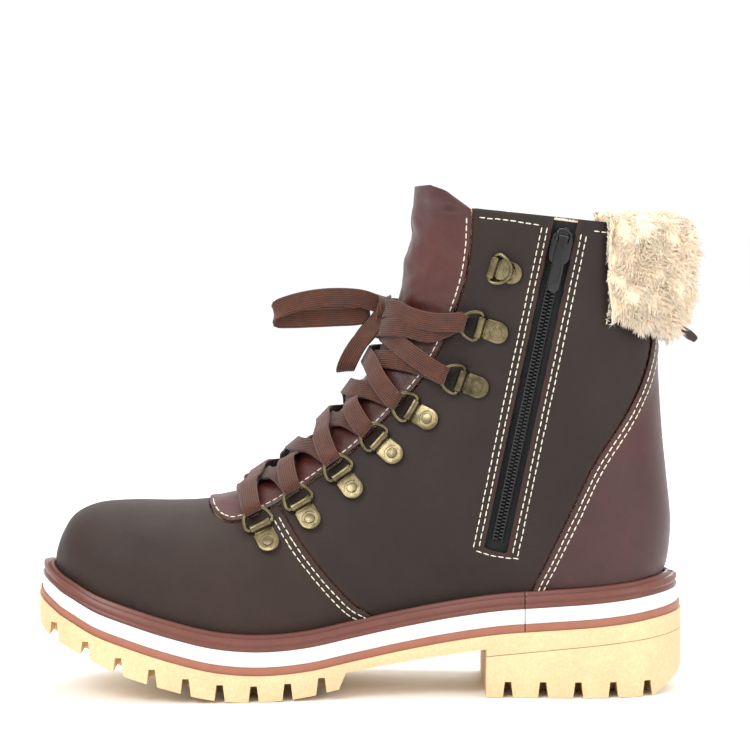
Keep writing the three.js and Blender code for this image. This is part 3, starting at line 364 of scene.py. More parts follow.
def make_finishes():
    shade = colours()
    FINISHES.update({
        "vamp": nubuck("oiled_nubuck_vamp", shade.vamp),
        "quarter": nubuck("oiled_nubuck_quarter", shade.quarter),
        "tongue": smooth_leather("tongue_leather", tinted(shade.red, 1.08), 1.1),
        "heel": smooth_leather("heel_leather", tinted(shade.red, 0.94), 0.35),
        "tab": smooth_leather("tab_leather", tinted(shade.quarter, 1.15)),
        "crepe": crepe_rubber("crepe_rubber", shade.crepe),
        "rust": strip_rubber("rust_rubber", shade.rust),
        "white": strip_rubber("white_rubber", shade.white, 0.45),
        "welt": strip_rubber("welt_rubber", shade.welt, 0.3), "pile": pile("shearling", shade.shearling),
        "felt": cloth("felt", (0.86, 0.79, 0.67), 1400), "lace": woven_lace("woven_lace", shade.lace),
        "knot": cloth("knotted_lace", tinted(shade.lace, 0.85), 1100),
        "thread": cloth("sewing_thread", shade.thread, 2600, 0.6),
        "tape": cloth("zip_tape", shade.black, 1900),
        "coil": plain_finish("zip_coil", tinted(shade.black, 1.2), 0.25),
        "slider": plain_finish("black_enamel", tinted(shade.black, 0.4), 0.14),
        "brass": antique_brass("antique_brass", shade.brass),
        "aglet": plain_finish("lace_tip", tinted(shade.lace, 0.7), 0.22),
        "cork": plain_finish("ground_cork", (0.66, 0.53, 0.36), 0.85, grain=500),
        "steel": plain_finish("shank_steel", (0.62, 0.62, 0.62), 0.32, 1.0),
        "board": plain_finish("fibre_board", (0.73, 0.62, 0.43), 0.85),
    })


# ---- mesh helpers, all in millimetres until a mesh is made -----------------------------------------
def make_piece(name, points, faces, finish, smooth=True):
    mesh = bpy.data.meshes.new(name)
    mesh.from_pydata((np.asarray(points, float) * MM).tolist(), [], [list(map(int, f)) for f in faces])
    mesh.validate()
    if smooth:
        mesh.polygons.foreach_set("use_smooth", [True] * len(mesh.polygons))
    piece = bpy.data.objects.new(name, mesh)
    bpy.context.scene.collection.objects.link(piece)
    if finish:
        mesh.materials.append(FINISHES[finish])
    return piece


def mark(piece, name, values):
    """Stores one number for each point of a piece, for its material."""
    layer = piece.data.attributes.get(name) or piece.data.attributes.new(name, "FLOAT", "POINT")
    layer.data.foreach_set("value", np.asarray(values, np.float32))


def only(piece):
    bpy.ops.object.select_all(action="DESELECT")
    piece.select_set(True)
    bpy.context.view_layer.objects.active = piece


def modify(piece, kind, **settings):
    """Adds a modifier and applies it."""
    only(piece)
    added = piece.modifiers.new(kind.title(), kind)
    for key, value in settings.items():
        setattr(added, key, value)
    bpy.ops.object.modifier_apply(modifier=added.name)
    return piece


def crisp(piece, degrees=35):
    only(piece)
    bpy.ops.object.shade_smooth_by_angle(angle=math.radians(degrees))
    return piece


def tidy_mesh(piece, distance=0.005, outward=True):
    bm = bmesh.new()
    bm.from_mesh(piece.data)
    bmesh.ops.remove_doubles(bm, verts=bm.verts, dist=distance * MM)
    if outward:
        bmesh.ops.recalc_face_normals(bm, faces=bm.faces)
    bm.to_mesh(piece.data)
    bm.free()
    return piece


def remove(*pieces):
    for piece in pieces:
        bpy.data.objects.remove(piece)


def cut(piece, cutter, operation="DIFFERENCE"):
    modify(piece, "BOOLEAN", object=cutter, operation=operation, solver="EXACT")
    remove(cutter)
    return piece


def join(name, *pieces):
    only(pieces[0])
    for piece in pieces:
        piece.select_set(True)
    bpy.ops.object.join()
    pieces[0].name = name
    return pieces[0]


def copies(name, pattern, matrices, finish):
    """One mesh made of a small pattern (points, faces) set at each matrix."""
    points, faces = pattern
    base = np.c_[points, np.ones(len(points))]
    placed = [(base @ np.array(m).T)[:, :3] for m in matrices]
    order = [[k + i * len(points) for k in f] for i in range(len(placed)) for f in faces]
    return make_piece(name, np.concatenate(placed), order, finish)


def loft(rings, closed=False):
    """Points and faces through rings of equal length, closed on itself or capped."""
    count, size = len(rings), len(rings[0])
    faces = []
    for i in range(count if closed else count - 1):
        a, b = i * size, ((i + 1) % count) * size
        faces += [[a + k, a + (k + 1) % size, b + (k + 1) % size, b + k] for k in range(size)]
    if not closed:
        faces += [list(range(size))[::-1], list(range((count - 1) * size, count * size))]
    return np.concatenate(rings), faces


def resample(points, step, closed=False):
    """A smooth curve through the points, as points about a step apart."""
    p = np.asarray(points, float)
    ends = [p[-1:], p, p[:2]] if closed else [2 * p[:1] - p[1:2], p, 2 * p[-1:] - p[-2:-1]]
    q = np.concatenate(ends)
    spans = np.maximum(np.linalg.norm(np.diff(q, axis=0), axis=1), 1e-6)
    knots = np.concatenate([[0], np.cumsum(spans ** 0.5)])
    dense = []
    for i in range(1, len(q) - 2):
        t0, t1, t2, t3 = knots[i - 1:i + 3]
        t = np.linspace(t1, t2, 24, endpoint=False)[:, None]
        a1 = (t1 - t) / (t1 - t0) * q[i - 1] + (t - t0) / (t1 - t0) * q[i]
        a2 = (t2 - t) / (t2 - t1) * q[i] + (t - t1) / (t2 - t1) * q[i + 1]
        a3 = (t3 - t) / (t3 - t2) * q[i + 1] + (t - t2) / (t3 - t2) * q[i + 2]
        b1 = (t2 - t) / (t2 - t0) * a1 + (t - t0) / (t2 - t0) * a2
        b2 = (t3 - t) / (t3 - t1) * a2 + (t - t1) / (t3 - t1) * a3
        dense.append((t2 - t) / (t2 - t1) * b1 + (t - t1) / (t2 - t1) * b2)
    dense = np.concatenate(dense + [q[-2:-1]])
    run = np.concatenate([[0], np.cumsum(np.linalg.norm(np.diff(dense, axis=0), axis=1))])
    count = max(int(round(run[-1] / step)), 2)
    at = np.linspace(0, run[-1], count + 1)
    even = np.stack([np.interp(at, run, dense[:, k]) for k in range(p.shape[1])], 1)
    return even[:-1] if closed else even


def unit(v):
    v = np.asarray(v, float)
    return v / np.maximum(np.linalg.norm(v, axis=-1, keepdims=True), 1e-9)


def tangents(path, closed=False):
    if closed:
        return unit(np.roll(path, -1, 0) - np.roll(path, 1, 0))
    return unit(np.gradient(path, axis=0))


def tube(path, radius, sides=12, closed=False):
    along = tangents(path, closed)
    up = np.array([0, 0, 1.0]) if abs(along[0][2]) < 0.9 else np.array([1.0, 0, 0])
    turn = np.linspace(0, 2 * math.pi, sides, endpoint=False)
    rings = []
    for p, t in zip(path, along):
        up = unit(up - t * up.dot(t))
        rings.append(p + radius * (np.cos(turn)[:, None] * up + np.sin(turn)[:, None] * np.cross(t, up)))
    return loft(rings, closed)


# ---- the last: sections from the toe, round the heel, to the collar --------------------------------
# Ridge point (X, Z), lower or rear point (X, Z), greatest half width, the share of it left at the
# lower point, and how far down the widest place is.
SECTIONS = np.array([
    [-138.8, 56.5, -138.7, 54.6, 0, 0.9, 0.6], [-137.7, 62, -137.3, 53.8, 11.5, 0.92, 0.6],
    [-135, 69.5, -134.3, 51.8, 20.5, 0.94, 0.6], [-130, 76.8, -128.5, 49, 29, 0.95, 0.62],
    [-120, 81.2, -118.5, 44, 37, 0.96, 0.66], [-105, 82.3, -104, 39, 43, 0.96, 0.7],
    [-86, 82, -86, 33.5, 46.8, 0.96, 0.74], [-70, 83, -67, 28.8, 47.8, 0.95, 0.76],
    [-56, 87.5, -48, 27, 46.8, 0.93, 0.76], [-43.5, 95, -28, 28.2, 44.6, 0.9, 0.74],
    [-32, 103.5, -8, 32, 42, 0.87, 0.71], [-22, 112.5, 13, 36.2, 39.6, 0.85, 0.68],
    [-12.5, 122.5, 35, 40.2, 37.6, 0.85, 0.66], [-4.5, 133, 56, 43.2, 36.2, 0.87, 0.66],
    [1.5, 143, 77, 44.8, 35.4, 0.9, 0.67], [6, 152, 97, 46.3, 35.4, 0.91, 0.67],
    [9, 159, 113, 48, 35.7, 0.81, 0.66], [10.5, 163.5, 123, 49.8, 36, 0.58, 0.65],
    [11.5, 166.5, 128.6, 51.6, 36.2, 0.27, 0.64], [12.2, 169, 130.6, 53.5, 36.4, 0, 0.64],
    [13.2, 173, 132.2, 62, 36.8, 0, 0.63], [14.2, 178, 132.8, 75, 37.2, 0, 0.61],
    [15.2, 184, 131, 93, 37.5, 0, 0.6], [16, 190, 129, 112, 37.8, 0, 0.58],
    [16.8, 196, 127.5, 132, 38.2, 0, 0.57], [17.6, 202, 126.2, 153, 38.7, 0, 0.55],
    [18.6, 208, 125, 176, 39.3, 0, 0.53], [19.6, 214, 124, 203, 39.8, 0, 0.52],
    [21, 222.5, 123.4, 212, 40.2, 0, 0.52], [22.5, 231, 123, 221, 40.4, 0, 0.52],
])
HEEL_ROW = 19
COLLAR_ROW = 27
ROUNDNESS = 2.25
WELT_FLANGE = 5.2
GAP = 0.3


def section(u):
    """The section at row u: ridge X and Z, lower X and Z, half width, share kept, widest place."""
    u = np.asarray(u, float)
    last = len(SECTIONS) - 1
    i = np.clip(np.floor(u).astype(int), 0, last - 1)
    a, b, c, d = (SECTIONS[np.clip(i + k, 0, last)] for k in (-1, 0, 1, 2))
    t = (u - i)[..., None]
    v = 0.5 * (2 * b + (c - a) * t + (2 * a - 5 * b + 4 * c - d) * t ** 2 + (3 * b - a - 3 * c + d) * t ** 3)
    v[..., 4] = np.maximum(v[..., 4], 0)
    v[..., 5] = np.where(u >= HEEL_ROW, 0, np.maximum(v[..., 5], 0))
    return v


def middle(x):
    """The middle line of a right foot seen from above."""
    x = np.asarray(x, float)
    toe = -7 * (np.maximum(-55 - x, 0) / 84) ** 1.5
    return toe + 1.8 * np.exp(-((x - 10) / 42) ** 2)


def upper_point(u, s, hand):
    u, s, hand = np.broadcast_arrays(np.asarray(u, float), np.asarray(s, float), np.asarray(hand, float))
    c = section(u)
    x = c[..., 0] + (c[..., 2] - c[..., 0]) * s
    z = c[..., 1] + (c[..., 3] - c[..., 1]) * s
    widest = c[..., 6]
    far = np.where(s < widest, (widest - s) / widest, (s - widest) / (1 - widest))
    left = np.where(s < widest, 0, c[..., 5])
    share = np.maximum(1 - (1 - left ** ROUNDNESS) * np.abs(far) ** ROUNDNESS, 0) ** (1 / ROUNDNESS)
    return np.stack([x, middle(x) + hand * c[..., 4] * share, z], -1)


def upper_normal(u, s, hand):
    step = 1e-3
    along = upper_point(u + step, s, hand) - upper_point(u - step, s, hand)
    below = upper_point(u, min(s + step, 1), hand) - upper_point(u, max(s - step, 0), hand)
    return unit(np.cross(below, along) * -hand)


def locate(x, z):
    """Row and share of the section through a point of the side view."""
    rows = np.arange(1, len(SECTIONS) - 1.001, 0.01)
    c = section(rows)
    dx, dz = c[:, 2] - c[:, 0], c[:, 3] - c[:, 1]
    miss = dx * (z - c[:, 1]) - dz * (x - c[:, 0])
    share = ((x - c[:, 0]) * dx + (z - c[:, 1]) * dz) / (dx * dx + dz * dz)
    found = np.where((miss[:-1] * miss[1:] <= 0) & (share[:-1] > -0.02) & (share[:-1] < 1.02))[0]
    if not len(found):
        raise ValueError(f"no place on the upper at {x}, {z}")
    k = found[0]
    part = miss[k] / (miss[k] - miss[k + 1]) if miss[k] != miss[k + 1] else 0
    return rows[k] + 0.01 * part, float(np.clip(share[k] + (share[k + 1] - share[k]) * part, 0, 1))


def on_upper(x, z, hand):
    u, s = locate(x, z)
    return upper_point(u, s, hand), upper_normal(u, s, hand)


# ---- outlines of the panels in the side view -------------------------------------------------------
TONGUE_EDGE = [
    (-74, 96), (-71.5, 84), (-67, 78.3), (-61, 75.9), (-54.9, 76.8), (-45, 81.2), (-40, 83.7),
    (-20.8, 96.4), (-5.6, 108.1), (9.1, 122.8), (21.2, 135.8), (29.4, 149.2), (37.6, 170), (41.1, 182.1),
    (43.1, 196), (43.5, 210.5)]
TONGUE_TOP = [(43.5, 211), (33, 219), (26.4, 221.4), (21, 220.8), (0, 218)]
VAMP_EDGE = [(-40, 83.7), (-30, 67.5), (-18, 51.9), (-7, 40), (1.7, 33.5), (3, 20)]
HEEL_EDGE = [
    (68, 28), (70.1, 44.5), (76.1, 57.5), (87.1, 80.4), (96.4, 100.3), (111.4, 123.3), (118.3, 137.1),
    (122.2, 150.1), (124, 166), (133, 178)]
ZIP_TOP = (83.4, 204)
ZIP_FOOT = (54.6, 66)
SLOT_HALF = 5.2


def smooth_line(line):
    return resample(line, 1.5)


def distance_to(line, points):
    """Distance of each point (X, Z) to an open line."""
    a, b = line[:-1], line[1:]
    best = np.full(len(points), 1e9)
    for p, q in zip(a, b):
        d = q - p
        t = np.clip(((points - p) @ d) / max(d @ d, 1e-9), 0, 1)
        best = np.minimum(best, np.linalg.norm(points - p - t[:, None] * d, axis=1))
    return best


def inside(outline, points):
    x, z = points[:, 0], points[:, 1]
    flags = np.zeros(len(points), bool)
    for (x0, z0), (x1, z1) in zip(outline, np.roll(outline, -1, 0)):
        if z0 != z1:
            flags ^= ((z0 > z) != (z1 > z)) & (x < (x1 - x0) * (z - z0) / (z1 - z0) + x0)
    return flags


def signed(outline, points):
    """Distance to a closed outline, positive inside it."""
    far = distance_to(np.concatenate([outline, outline[:1]]), points)
    return np.where(inside(outline, points), far, -far)


def regions(points):
    """How far inside each panel's region every point (X, Z) lies."""
    tongue = np.concatenate([smooth_line(TONGUE_EDGE), TONGUE_TOP, [(-60, 218), (-140, 150), (-80, 100)]])
    vamp = np.concatenate([smooth_line(VAMP_EDGE), [(-190, 10), (-190, 260), (-40, 260)]])
    heel = np.concatenate([smooth_line(HEEL_EDGE), [(190, 178), (190, 10), (66, 10)]])
    return {"tongue": signed(tongue, points), "vamp": signed(vamp, points), "heel": signed(heel, points)}


ZIP_ALONG = unit([ZIP_TOP[0] - ZIP_FOOT[0], ZIP_TOP[1] - ZIP_FOOT[1]])
ZIP_ACROSS = np.array([ZIP_ALONG[1], -ZIP_ALONG[0]])


def zip_place(points):
    """Place across and along the zip of points (X, Z)."""
    away = points - np.array(ZIP_FOOT)
    return away @ ZIP_ACROSS, away @ ZIP_ALONG


# ---- clips, rings and the lace's route -------------------------------------------------------------
CLIPS = [
    (53.2, 186.2, 71), (47.8, 160.3, 72), (39.5, 136.7, 70), (18.2, 123.5, 62),
    (3.9, 109.7, 51), (-12.2, 95.8, 39), (-29.8, 83, 34), (-47.2, 73.6, 31)]
RING_HALF, RING_REACH = 6.3, 8.6
HINGE_HEIGHT = 2.3
LACED_TILT, FOLDED_TILT = 20, 171
FIRST_LACED = 1


def matrix(x, y, z, origin):
    m = np.eye(4)
    m[:3, 0], m[:3, 1], m[:3, 2], m[:3, 3] = x, y, z, origin
    return m


def tilt_matrix(degrees):
    return np.array(Matrix.Rotation(math.radians(degrees), 4, "X"))


def shift(x, y, z):
    return np.array(Matrix.Translation((x, y, z)))


def clip_matrix(row, hand):
    """X along the ring's bar, Y towards the lacing, Z out of the leather."""
    x, z, slope = row
    point, normal = on_upper(x, z, hand)
    bar = np.array([math.cos(math.radians(slope)), 0, math.sin(math.radians(slope))]) * -hand
    bar = unit(bar - normal * bar.dot(normal))
    return matrix(bar, np.cross(normal, bar), normal, point)


def ring_matrix(index, hand):
    tilt = LACED_TILT if index >= FIRST_LACED else FOLDED_TILT
    return clip_matrix(CLIPS[index], hand) @ shift(0, 0, HINGE_HEIGHT) @ tilt_matrix(tilt)


def at(m, x, y, z):
    return (m @ np.array([x, y, z, 1.0]))[:3]


LEG_HEIGHT, CROSS = 3.5, 1.35
KNOT = (6.2, 167.0)
KNOT_HALF = (3.2, 5.0, 4.4)
KNOT_ROW, KNOT_CLEAR = 18.5, 1.5


def raised(u, s, hand, height):
    normal = upper_normal(u, max(s, 0.002), hand)
    return upper_point(u, s, hand) + normal * height, normal


def ridge(u, height):
    normal = unit(upper_normal(u, 0.002, -1) + upper_normal(u, 0.002, 1))
    return upper_point(u, 0, 1) + normal * height, normal


def ring_turn(ring, thick):
    """Points round a ring's bow, from above the wire to below it, each with the way out."""
    wire = at(ring, 0, RING_REACH, 0)
    radius = sizes().wire + thick / 2 + 0.35
    steps = []
    for degrees in (60, 105, 150, 195, 240, 285):
        a = math.radians(degrees)
        away = ring[:3, 1] * math.cos(a) + ring[:3, 2] * math.sin(a)
        steps.append((wire + away * radius, away))
    return steps


def place_of(ring):
    tip = at(ring, 0, RING_REACH + 2.5, 0)
    return locate(tip[0], tip[2])


def ridge_row(ring):
    tip = at(ring, 0, RING_REACH, 0)
    rows = np.arange(4, COLLAR_ROW, 0.1)
    c = section(rows)
    return float(rows[np.argmin(np.hypot(c[:, 0] - tip[0], c[:, 1] - tip[2]))])


def leg(start, end, hand, lift, lower):
    """A leg from a ring over the ridge to the next ring on the other side."""
    (u0, s0), (u1, s1) = place_of(start), place_of(end)
    mid = (ridge_row(start) + ridge_row(end)) / 2 - lower

    def step(u, s, side, share, height):
        return raised(u * share + mid * (1 - share), s * share, side, height)
    return [
        step(u0, s0, hand, 0.7, LEG_HEIGHT), step(u0, s0, hand, 0.35, LEG_HEIGHT + lift * 0.6),
        step(u0, s0, hand, 0.13, LEG_HEIGHT + lift), ridge(mid, LEG_HEIGHT + lift),
        step(u1, s1, -hand, 0.13, LEG_HEIGHT + lift),
        step(u1, s1, -hand, 0.33, LEG_HEIGHT + 0.8 + lift * 0.6),
        step(u1, s1, -hand, 0.65, LEG_HEIGHT + 2.6)]


def laced_run(start_hand, lift, thick):
    """One end of the lace from the knot down to the lowest ring: points, each with its face's normal."""
    hand = start_hand
    last = len(CLIPS) - 1
    ring = ring_matrix(FIRST_LACED, hand)
    u, s = place_of(ring)
    leave = np.array([KNOT[0], float(middle(KNOT[0])) + hand * (KNOT_HALF[1] - 1.0), KNOT[1]])
    route = [(leave, raised(KNOT_ROW, 0.1, hand, 0)[1])]
    for share in (0.12, 0.36, 0.7):
        route.append(raised(KNOT_ROW + (u - KNOT_ROW) * share, s * share, hand, 4.6))
    face = 1
    for i in range(FIRST_LACED, last + 1):
        ring = ring_matrix(i, hand)
        route += [(p, n * face) for p, n in ring_turn(ring, thick)]
        face = -face
        if i < last:
            below = ring_matrix(i + 1, -hand)
            legs = leg(ring, below, hand, lift, KNOT_CLEAR if i == FIRST_LACED else 0)
            route += [(p, n * face) for p, n in legs]
            hand = -hand
    u_end, s_end = place_of(ring)
    row = ridge_row(ring)
    for share in (0.65, 0.3):
        p, n = raised(row + (u_end - row) * share, s_end * share, hand, 2.2)
        route.append((p, n * face))
    return route, row


def lace_route(thick):
    down, row = laced_run(-1, CROSS, thick)
    back, _ = laced_run(1, -CROSS, thick)
    point, normal = ridge(row, 2.2)
    face = np.sign(down[-1][1].dot(normal))
    other = np.sign(back[-1][1].dot(normal)) * face
    return down + [(point, normal * face)] + [(p, n * other) for p, n in back[::-1]]


# Routes of the two ends of the bow, from the knot: each a loop and then the free end.
FRONT_BOW = [
    (6.4, 2.4, 168), (2, 1.5, 169.4), (-3, -1, 171.2), (-12, -5, 172.2), (-23, -8.5, 171.8),
    (-34, -11, 169.6), (-41, -12, 166.6),
    (-41.5, -10, 163.2), (-36, -7.5, 162.6), (-26, -5, 162.8), (-15, -2.5, 163.2), (-6, 0, 163.6),
    (-1.2, 2.6, 164.8), (-1, 5.4, 166.2), (-5, 7.6, 167.2), (-13, 9, 167.8), (-22, 10, 167.4),
    (-31, 10.8, 165.6), (-38, 11.4, 162.8)]
HANGING_BOW = [
    (6, -0.6, 165.4), (3, -1.5, 161.8), (-0.8, -3.6, 157), (-5.4, -4.8, 151.4), (-8.6, -4.6, 146),
    (-10.6, -2.6, 141.6),
    (-11.2, 1.2, 139.4), (-10.4, 5, 141.2), (-8.2, 7.9, 145.6), (-5.2, 10, 150.8), (-1, 11.6, 156.2),
    (3.4, 13.4, 160.8), (7.8, 16.8, 163), (11.6, 21.6, 162), (14, 26, 157.6), (15.4, 30.4, 151),
    (17.2, 33.2, 144), (19.4, 34.8, 137)]
RIBS = 9
AGLET_LONG = 12.0


def ribbon(name, route, widths, wide, thick, step=1.3):
    """A flat ribbed lace along a route; widths are the directions across it, one for each point."""
    both = resample(np.c_[route, np.asarray(widths, float) * 10], step)
    path = both[:, :3]
    along = tangents(path)
    across = unit(both[:, 3:] - along * np.sum(both[:, 3:] * along, 1, keepdims=True))
    face = np.cross(along, across)
    place = np.linspace(-1, 1, 2 * RIBS + 1)
    rib = np.where(np.arange(len(place)) % 2 == 1, 1.0, 0.72)
    rib[[0, -1]] = 0.25
    top = [(p, r) for p, r in zip(place, rib)]
    outline = top + [(p, -r) for p, r in top[::-1]]
    rings = [c + a * 0 + np.array([w * p * wide / 2 + f * r * thick / 2 for p, r in outline])
             for c, a, w, f in zip(path, along, across, face)]
    points, faces = loft(rings)
    piece = make_piece(name, points, faces, "lace")
    mark(piece, "across", np.tile([(p + 1) / 2 for p, _ in outline], len(path)))
    run = np.concatenate([[0], np.cumsum(np.linalg.norm(np.diff(path, axis=0), axis=1))])
    mark(piece, "along", np.repeat(run, len(outline)))
    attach(piece, "root")
    return piece, path, across


def aglet(name, path, across, wide, thick):
    """The moulded tip on a free end of the lace."""
    end = path[-1]
    along = unit(path[-1] - path[-4])
    side = across[-1]
    face = np.cross(along, side)
    turn = np.linspace(0, 2 * math.pi, 20, endpoint=False)
    rings = []
    for place, half in ((-AGLET_LONG, 0.40), (-AGLET_LONG + 0.4, 0.44), (-0.8, 0.34), (0.1, 0.26)):
        flat = thick / 2 + 0.45 + (0.44 - half) * 2
        rings.append(end + along * place + np.cos(turn)[:, None] * side * half * wide
                     + np.sin(turn)[:, None] * face * flat)
    points, faces = loft(rings)
    tip = crisp(make_piece(name, points, faces, "aglet"), 50)
    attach(tidy_mesh(tip), "root")
    return tip


class BOOT_OT_laces(bpy.types.Operator):
    """Lay the lace: its crossings, the knot, and the bow's two free ends"""
    bl_idname = "boot.laces"
    bl_label = "Laces"

    def execute(self, context):
        wide, thick = sizes().lace_width, sizes().lace_thick
        bows = (("bow_front", "lace_bow_front", FRONT_BOW, [(0, 0.25, 0.97)] * len(FRONT_BOW)),
                ("bow_hanging", "lace_bow_hanging", HANGING_BOW,
                 [(0.95, -0.25, 0.1)] * 10 + [(0.85, 0.2, 0.3)] * 2 + [(0.67, 0.6, 0.42)] * 6))
        for name, node, route, widths in bows:
            piece, path, across = ribbon(name, route, widths, wide, thick)
            tip = aglet(name + "_tip", path, across, wide, thick)
            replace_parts(piece, node)
            tuple(path[0] * MM)
            (path * MM).tolist()
        route = lace_route(thick)
        points = np.array([p for p, _ in route])
        widths = np.cross(tangents(points), np.array([n for _, n in route]))
        piece, _, _ = ribbon("lacing", points, unit(widths), wide, thick)
        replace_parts(piece, "lace_crossings")
        make_knot(wide, thick)
        return {"FINISHED"}


def make_knot(wide, thick):
    """The bow's knot: two wraps of lace round a tight core."""
    centre = np.array([KNOT[0], float(middle(KNOT[0])), KNOT[1]])
    bpy.ops.mesh.primitive_uv_sphere_add(segments=24, ring_count=16, radius=1)
    core = bpy.context.object
    core.name = "knot_core"
    half = np.array(KNOT_HALF) * 0.86
    for v in core.data.vertices:
        v.co = Vector((np.array(v.co) * half * (1 + 0.08 * math.sin(9 * v.co.z)) + centre) * MM)
    core.data.materials.append(FINISHES["knot"])
    wraps = [core]
    for turn_at, lean, reach in ((-0.4, 0.5, 0.98), (0.9, -0.6, 0.94)):
        path, widths = [], []
        for a in np.linspace(0, 2 * math.pi, 17):
            way = np.array([lean * 0.5 * math.sin(a), math.cos(a), math.sin(a)])
            path.append(centre + way * np.array(KNOT_HALF) * reach + np.array([turn_at, 0, 0]))
            widths.append((1, 0.1 * turn_at, lean))
        piece, _, _ = ribbon(f"knot_wrap_{len(wraps)}", path, widths, wide * 0.72, thick * 0.9, 0.8)
        wraps.append(piece)
    knot = join("lace_knot_wraps", *wraps)
    crisp(knot, 60)
    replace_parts(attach(knot, "root"), "lace_knot")


# ---- sole ------------------------------------------------------------------------------------------
SEAT = np.array(
    [(-156, 64.5)] + [(row[2], row[3] - GAP) for row in SECTIONS[:17]] + [(124, 49.2), (142, 51.2)])
WELT_TALL, WHITE_TALL, RUST_TALL, STRIP_WIDTH = 5.4, 6.4, 3.0, 13.0
WHITE_OUT, RUST_OUT, SOLE_OUT = 0.8, 1.4, 2.2
SEAM_X, SEAM = 66.5, 0.4
LUG_DEPTH, LUG_GAP, LUG_LENGTH = 6.8, 4.2, 21
TREAD = np.array([
    (-156, 42), (-148.6, 36), (-146, 32), (-141, 27.5), (-124, 19.5), (-113, 14.2), (-101, 9.8), (-86, 5.6),
    (-74, 2.4), (-60, 0.3), (-44.5, 0), (-28, 1.5), (-13.5, 4.4), (-10.5, 11.6), (25, 17.3), (50.2, 21)])
PARTING = np.array([(50.2, 17.6), (142, 27)])
HEEL_GROUND = np.array([(50.2, 0), (123, 0), (138.5, 9.5), (142, 14)])


def height_on(line, x):
    return np.interp(x, line[:, 0], line[:, 1])


def sole_loop(out, step=1.2):
    """The upper's lower edge seen from above, moved out; it starts at the toe, medial side first."""
    rows = np.arange(0.5, HEEL_ROW, 0.5)
    ends = [upper_point(0, 1, 1), upper_point(HEEL_ROW, 1, 1)]
    loop = np.concatenate([ends[:1], upper_point(rows, 1, -1), ends[1:], upper_point(rows, 1, 1)[::-1]])
    loop[:, 2] = 0
    even = resample(loop, step, closed=True)
    along = tangents(even, closed=True)
    return even[:, :2] + np.c_[along[:, 1], -along[:, 0]] * out


def seat_line(x):
    """The smooth line that the upper stands on."""
    dense = resample(SEAT, 1.0)
    return np.interp(x, dense[:, 0], dense[:, 1])


def strip_piece(name, profile, finish, node):
    """A rubber strip bent round the sole, its ends butted on the medial side. The profile is (out, down)."""
    base = sole_loop(0, 1.0)
    start = min(range(len(base)), key=lambda i: (base[i][1] > 0, abs(base[i][0] - SEAM_X - SEAM)))
    base = np.roll(base, -start, 0)
    along = tangents(base, closed=True)
    out = np.c_[along[:, 1], -along[:, 0]]
    profile = np.array(profile)
    rings = []
    for p, n in zip(base, out):
        plan = p + n * profile[:, :1]
        rings.append(np.c_[plan, seat_line(plan[:, 0]) - profile[:, 1]])
    rings.append(rings[0] - np.array([SEAM, 0, 0]) * 0.999)
    points, faces = loft(rings)
    piece = tidy_mesh(make_piece(name, points, faces, finish), 0.002)
    modify(piece, "BEVEL", width=0.35 * MM, segments=2, limit_method="ANGLE", angle_limit=math.radians(60))
    crisp(piece, 40)
    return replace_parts(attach(piece, "root"), node)


def prism(name, outline, axis, low, high):
    """A closed block: an outline in plan (axis 2) or side view (axis 1), pushed from low to high."""
    outline = np.asarray(outline, float)
    rings = [np.insert(outline, axis, value, axis=1) for value in (low, high)]
    points, faces = loft(rings)
    return tidy_mesh(make_piece(name, points, faces, None), 0.0005)


def tread_gaps(line, first, pitch, count):
    """Blocks that cut the gaps between lugs: in from both edges, and between the middle lugs."""
    wide, slim = LUG_GAP / 2 + 0.5, LUG_GAP / 2 - 0.7
    loop = sole_loop(WELT_FLANGE, 2.0)
    cutters = []
    for k in range(count):
        for half in (0.0, 0.5):
            x = first + (k + half) * pitch
            if half and k + 1 == count:
                continue
            near = loop[np.abs(loop[:, 0] - min(x, 112)) < 3]
            edge, y = np.abs(near[:, 1] - float(middle(x))).max(), float(middle(x))
            z = float(height_on(line, x))
            low, high = z - 3, z + LUG_DEPTH
            outline = [(x - wide, low), (x + wide, low), (x + slim, high), (x - slim, high)]
            spans = [(y - 9, y + 9)] if half else [
                (y - edge - 12, y - edge + LUG_LENGTH), (y + edge - LUG_LENGTH, y + edge + 12)]
            cutters += [prism("gap", outline, 1, *span) for span in spans]
    return join("gaps", *cutters)


def crepe_block(name, side_outline, gaps, node):
    block = prism(name, sole_loop(WELT_FLANGE + SOLE_OUT, 1.6), 2, -3, 90)
    cut(block, prism("side", side_outline, 1, -90, 90), "INTERSECT")
    cut(block, gaps)
    tidy_mesh(block, 0.02)
    modify(block, "BEVEL", width=0.55 * MM, segments=2, limit_method="ANGLE", angle_limit=math.radians(42),
           use_clamp_overlap=True)
    block.data.materials.clear()
    block.data.materials.append(FINISHES["crepe"])
    crisp(block, 38)
    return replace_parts(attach(block, "root"), node)


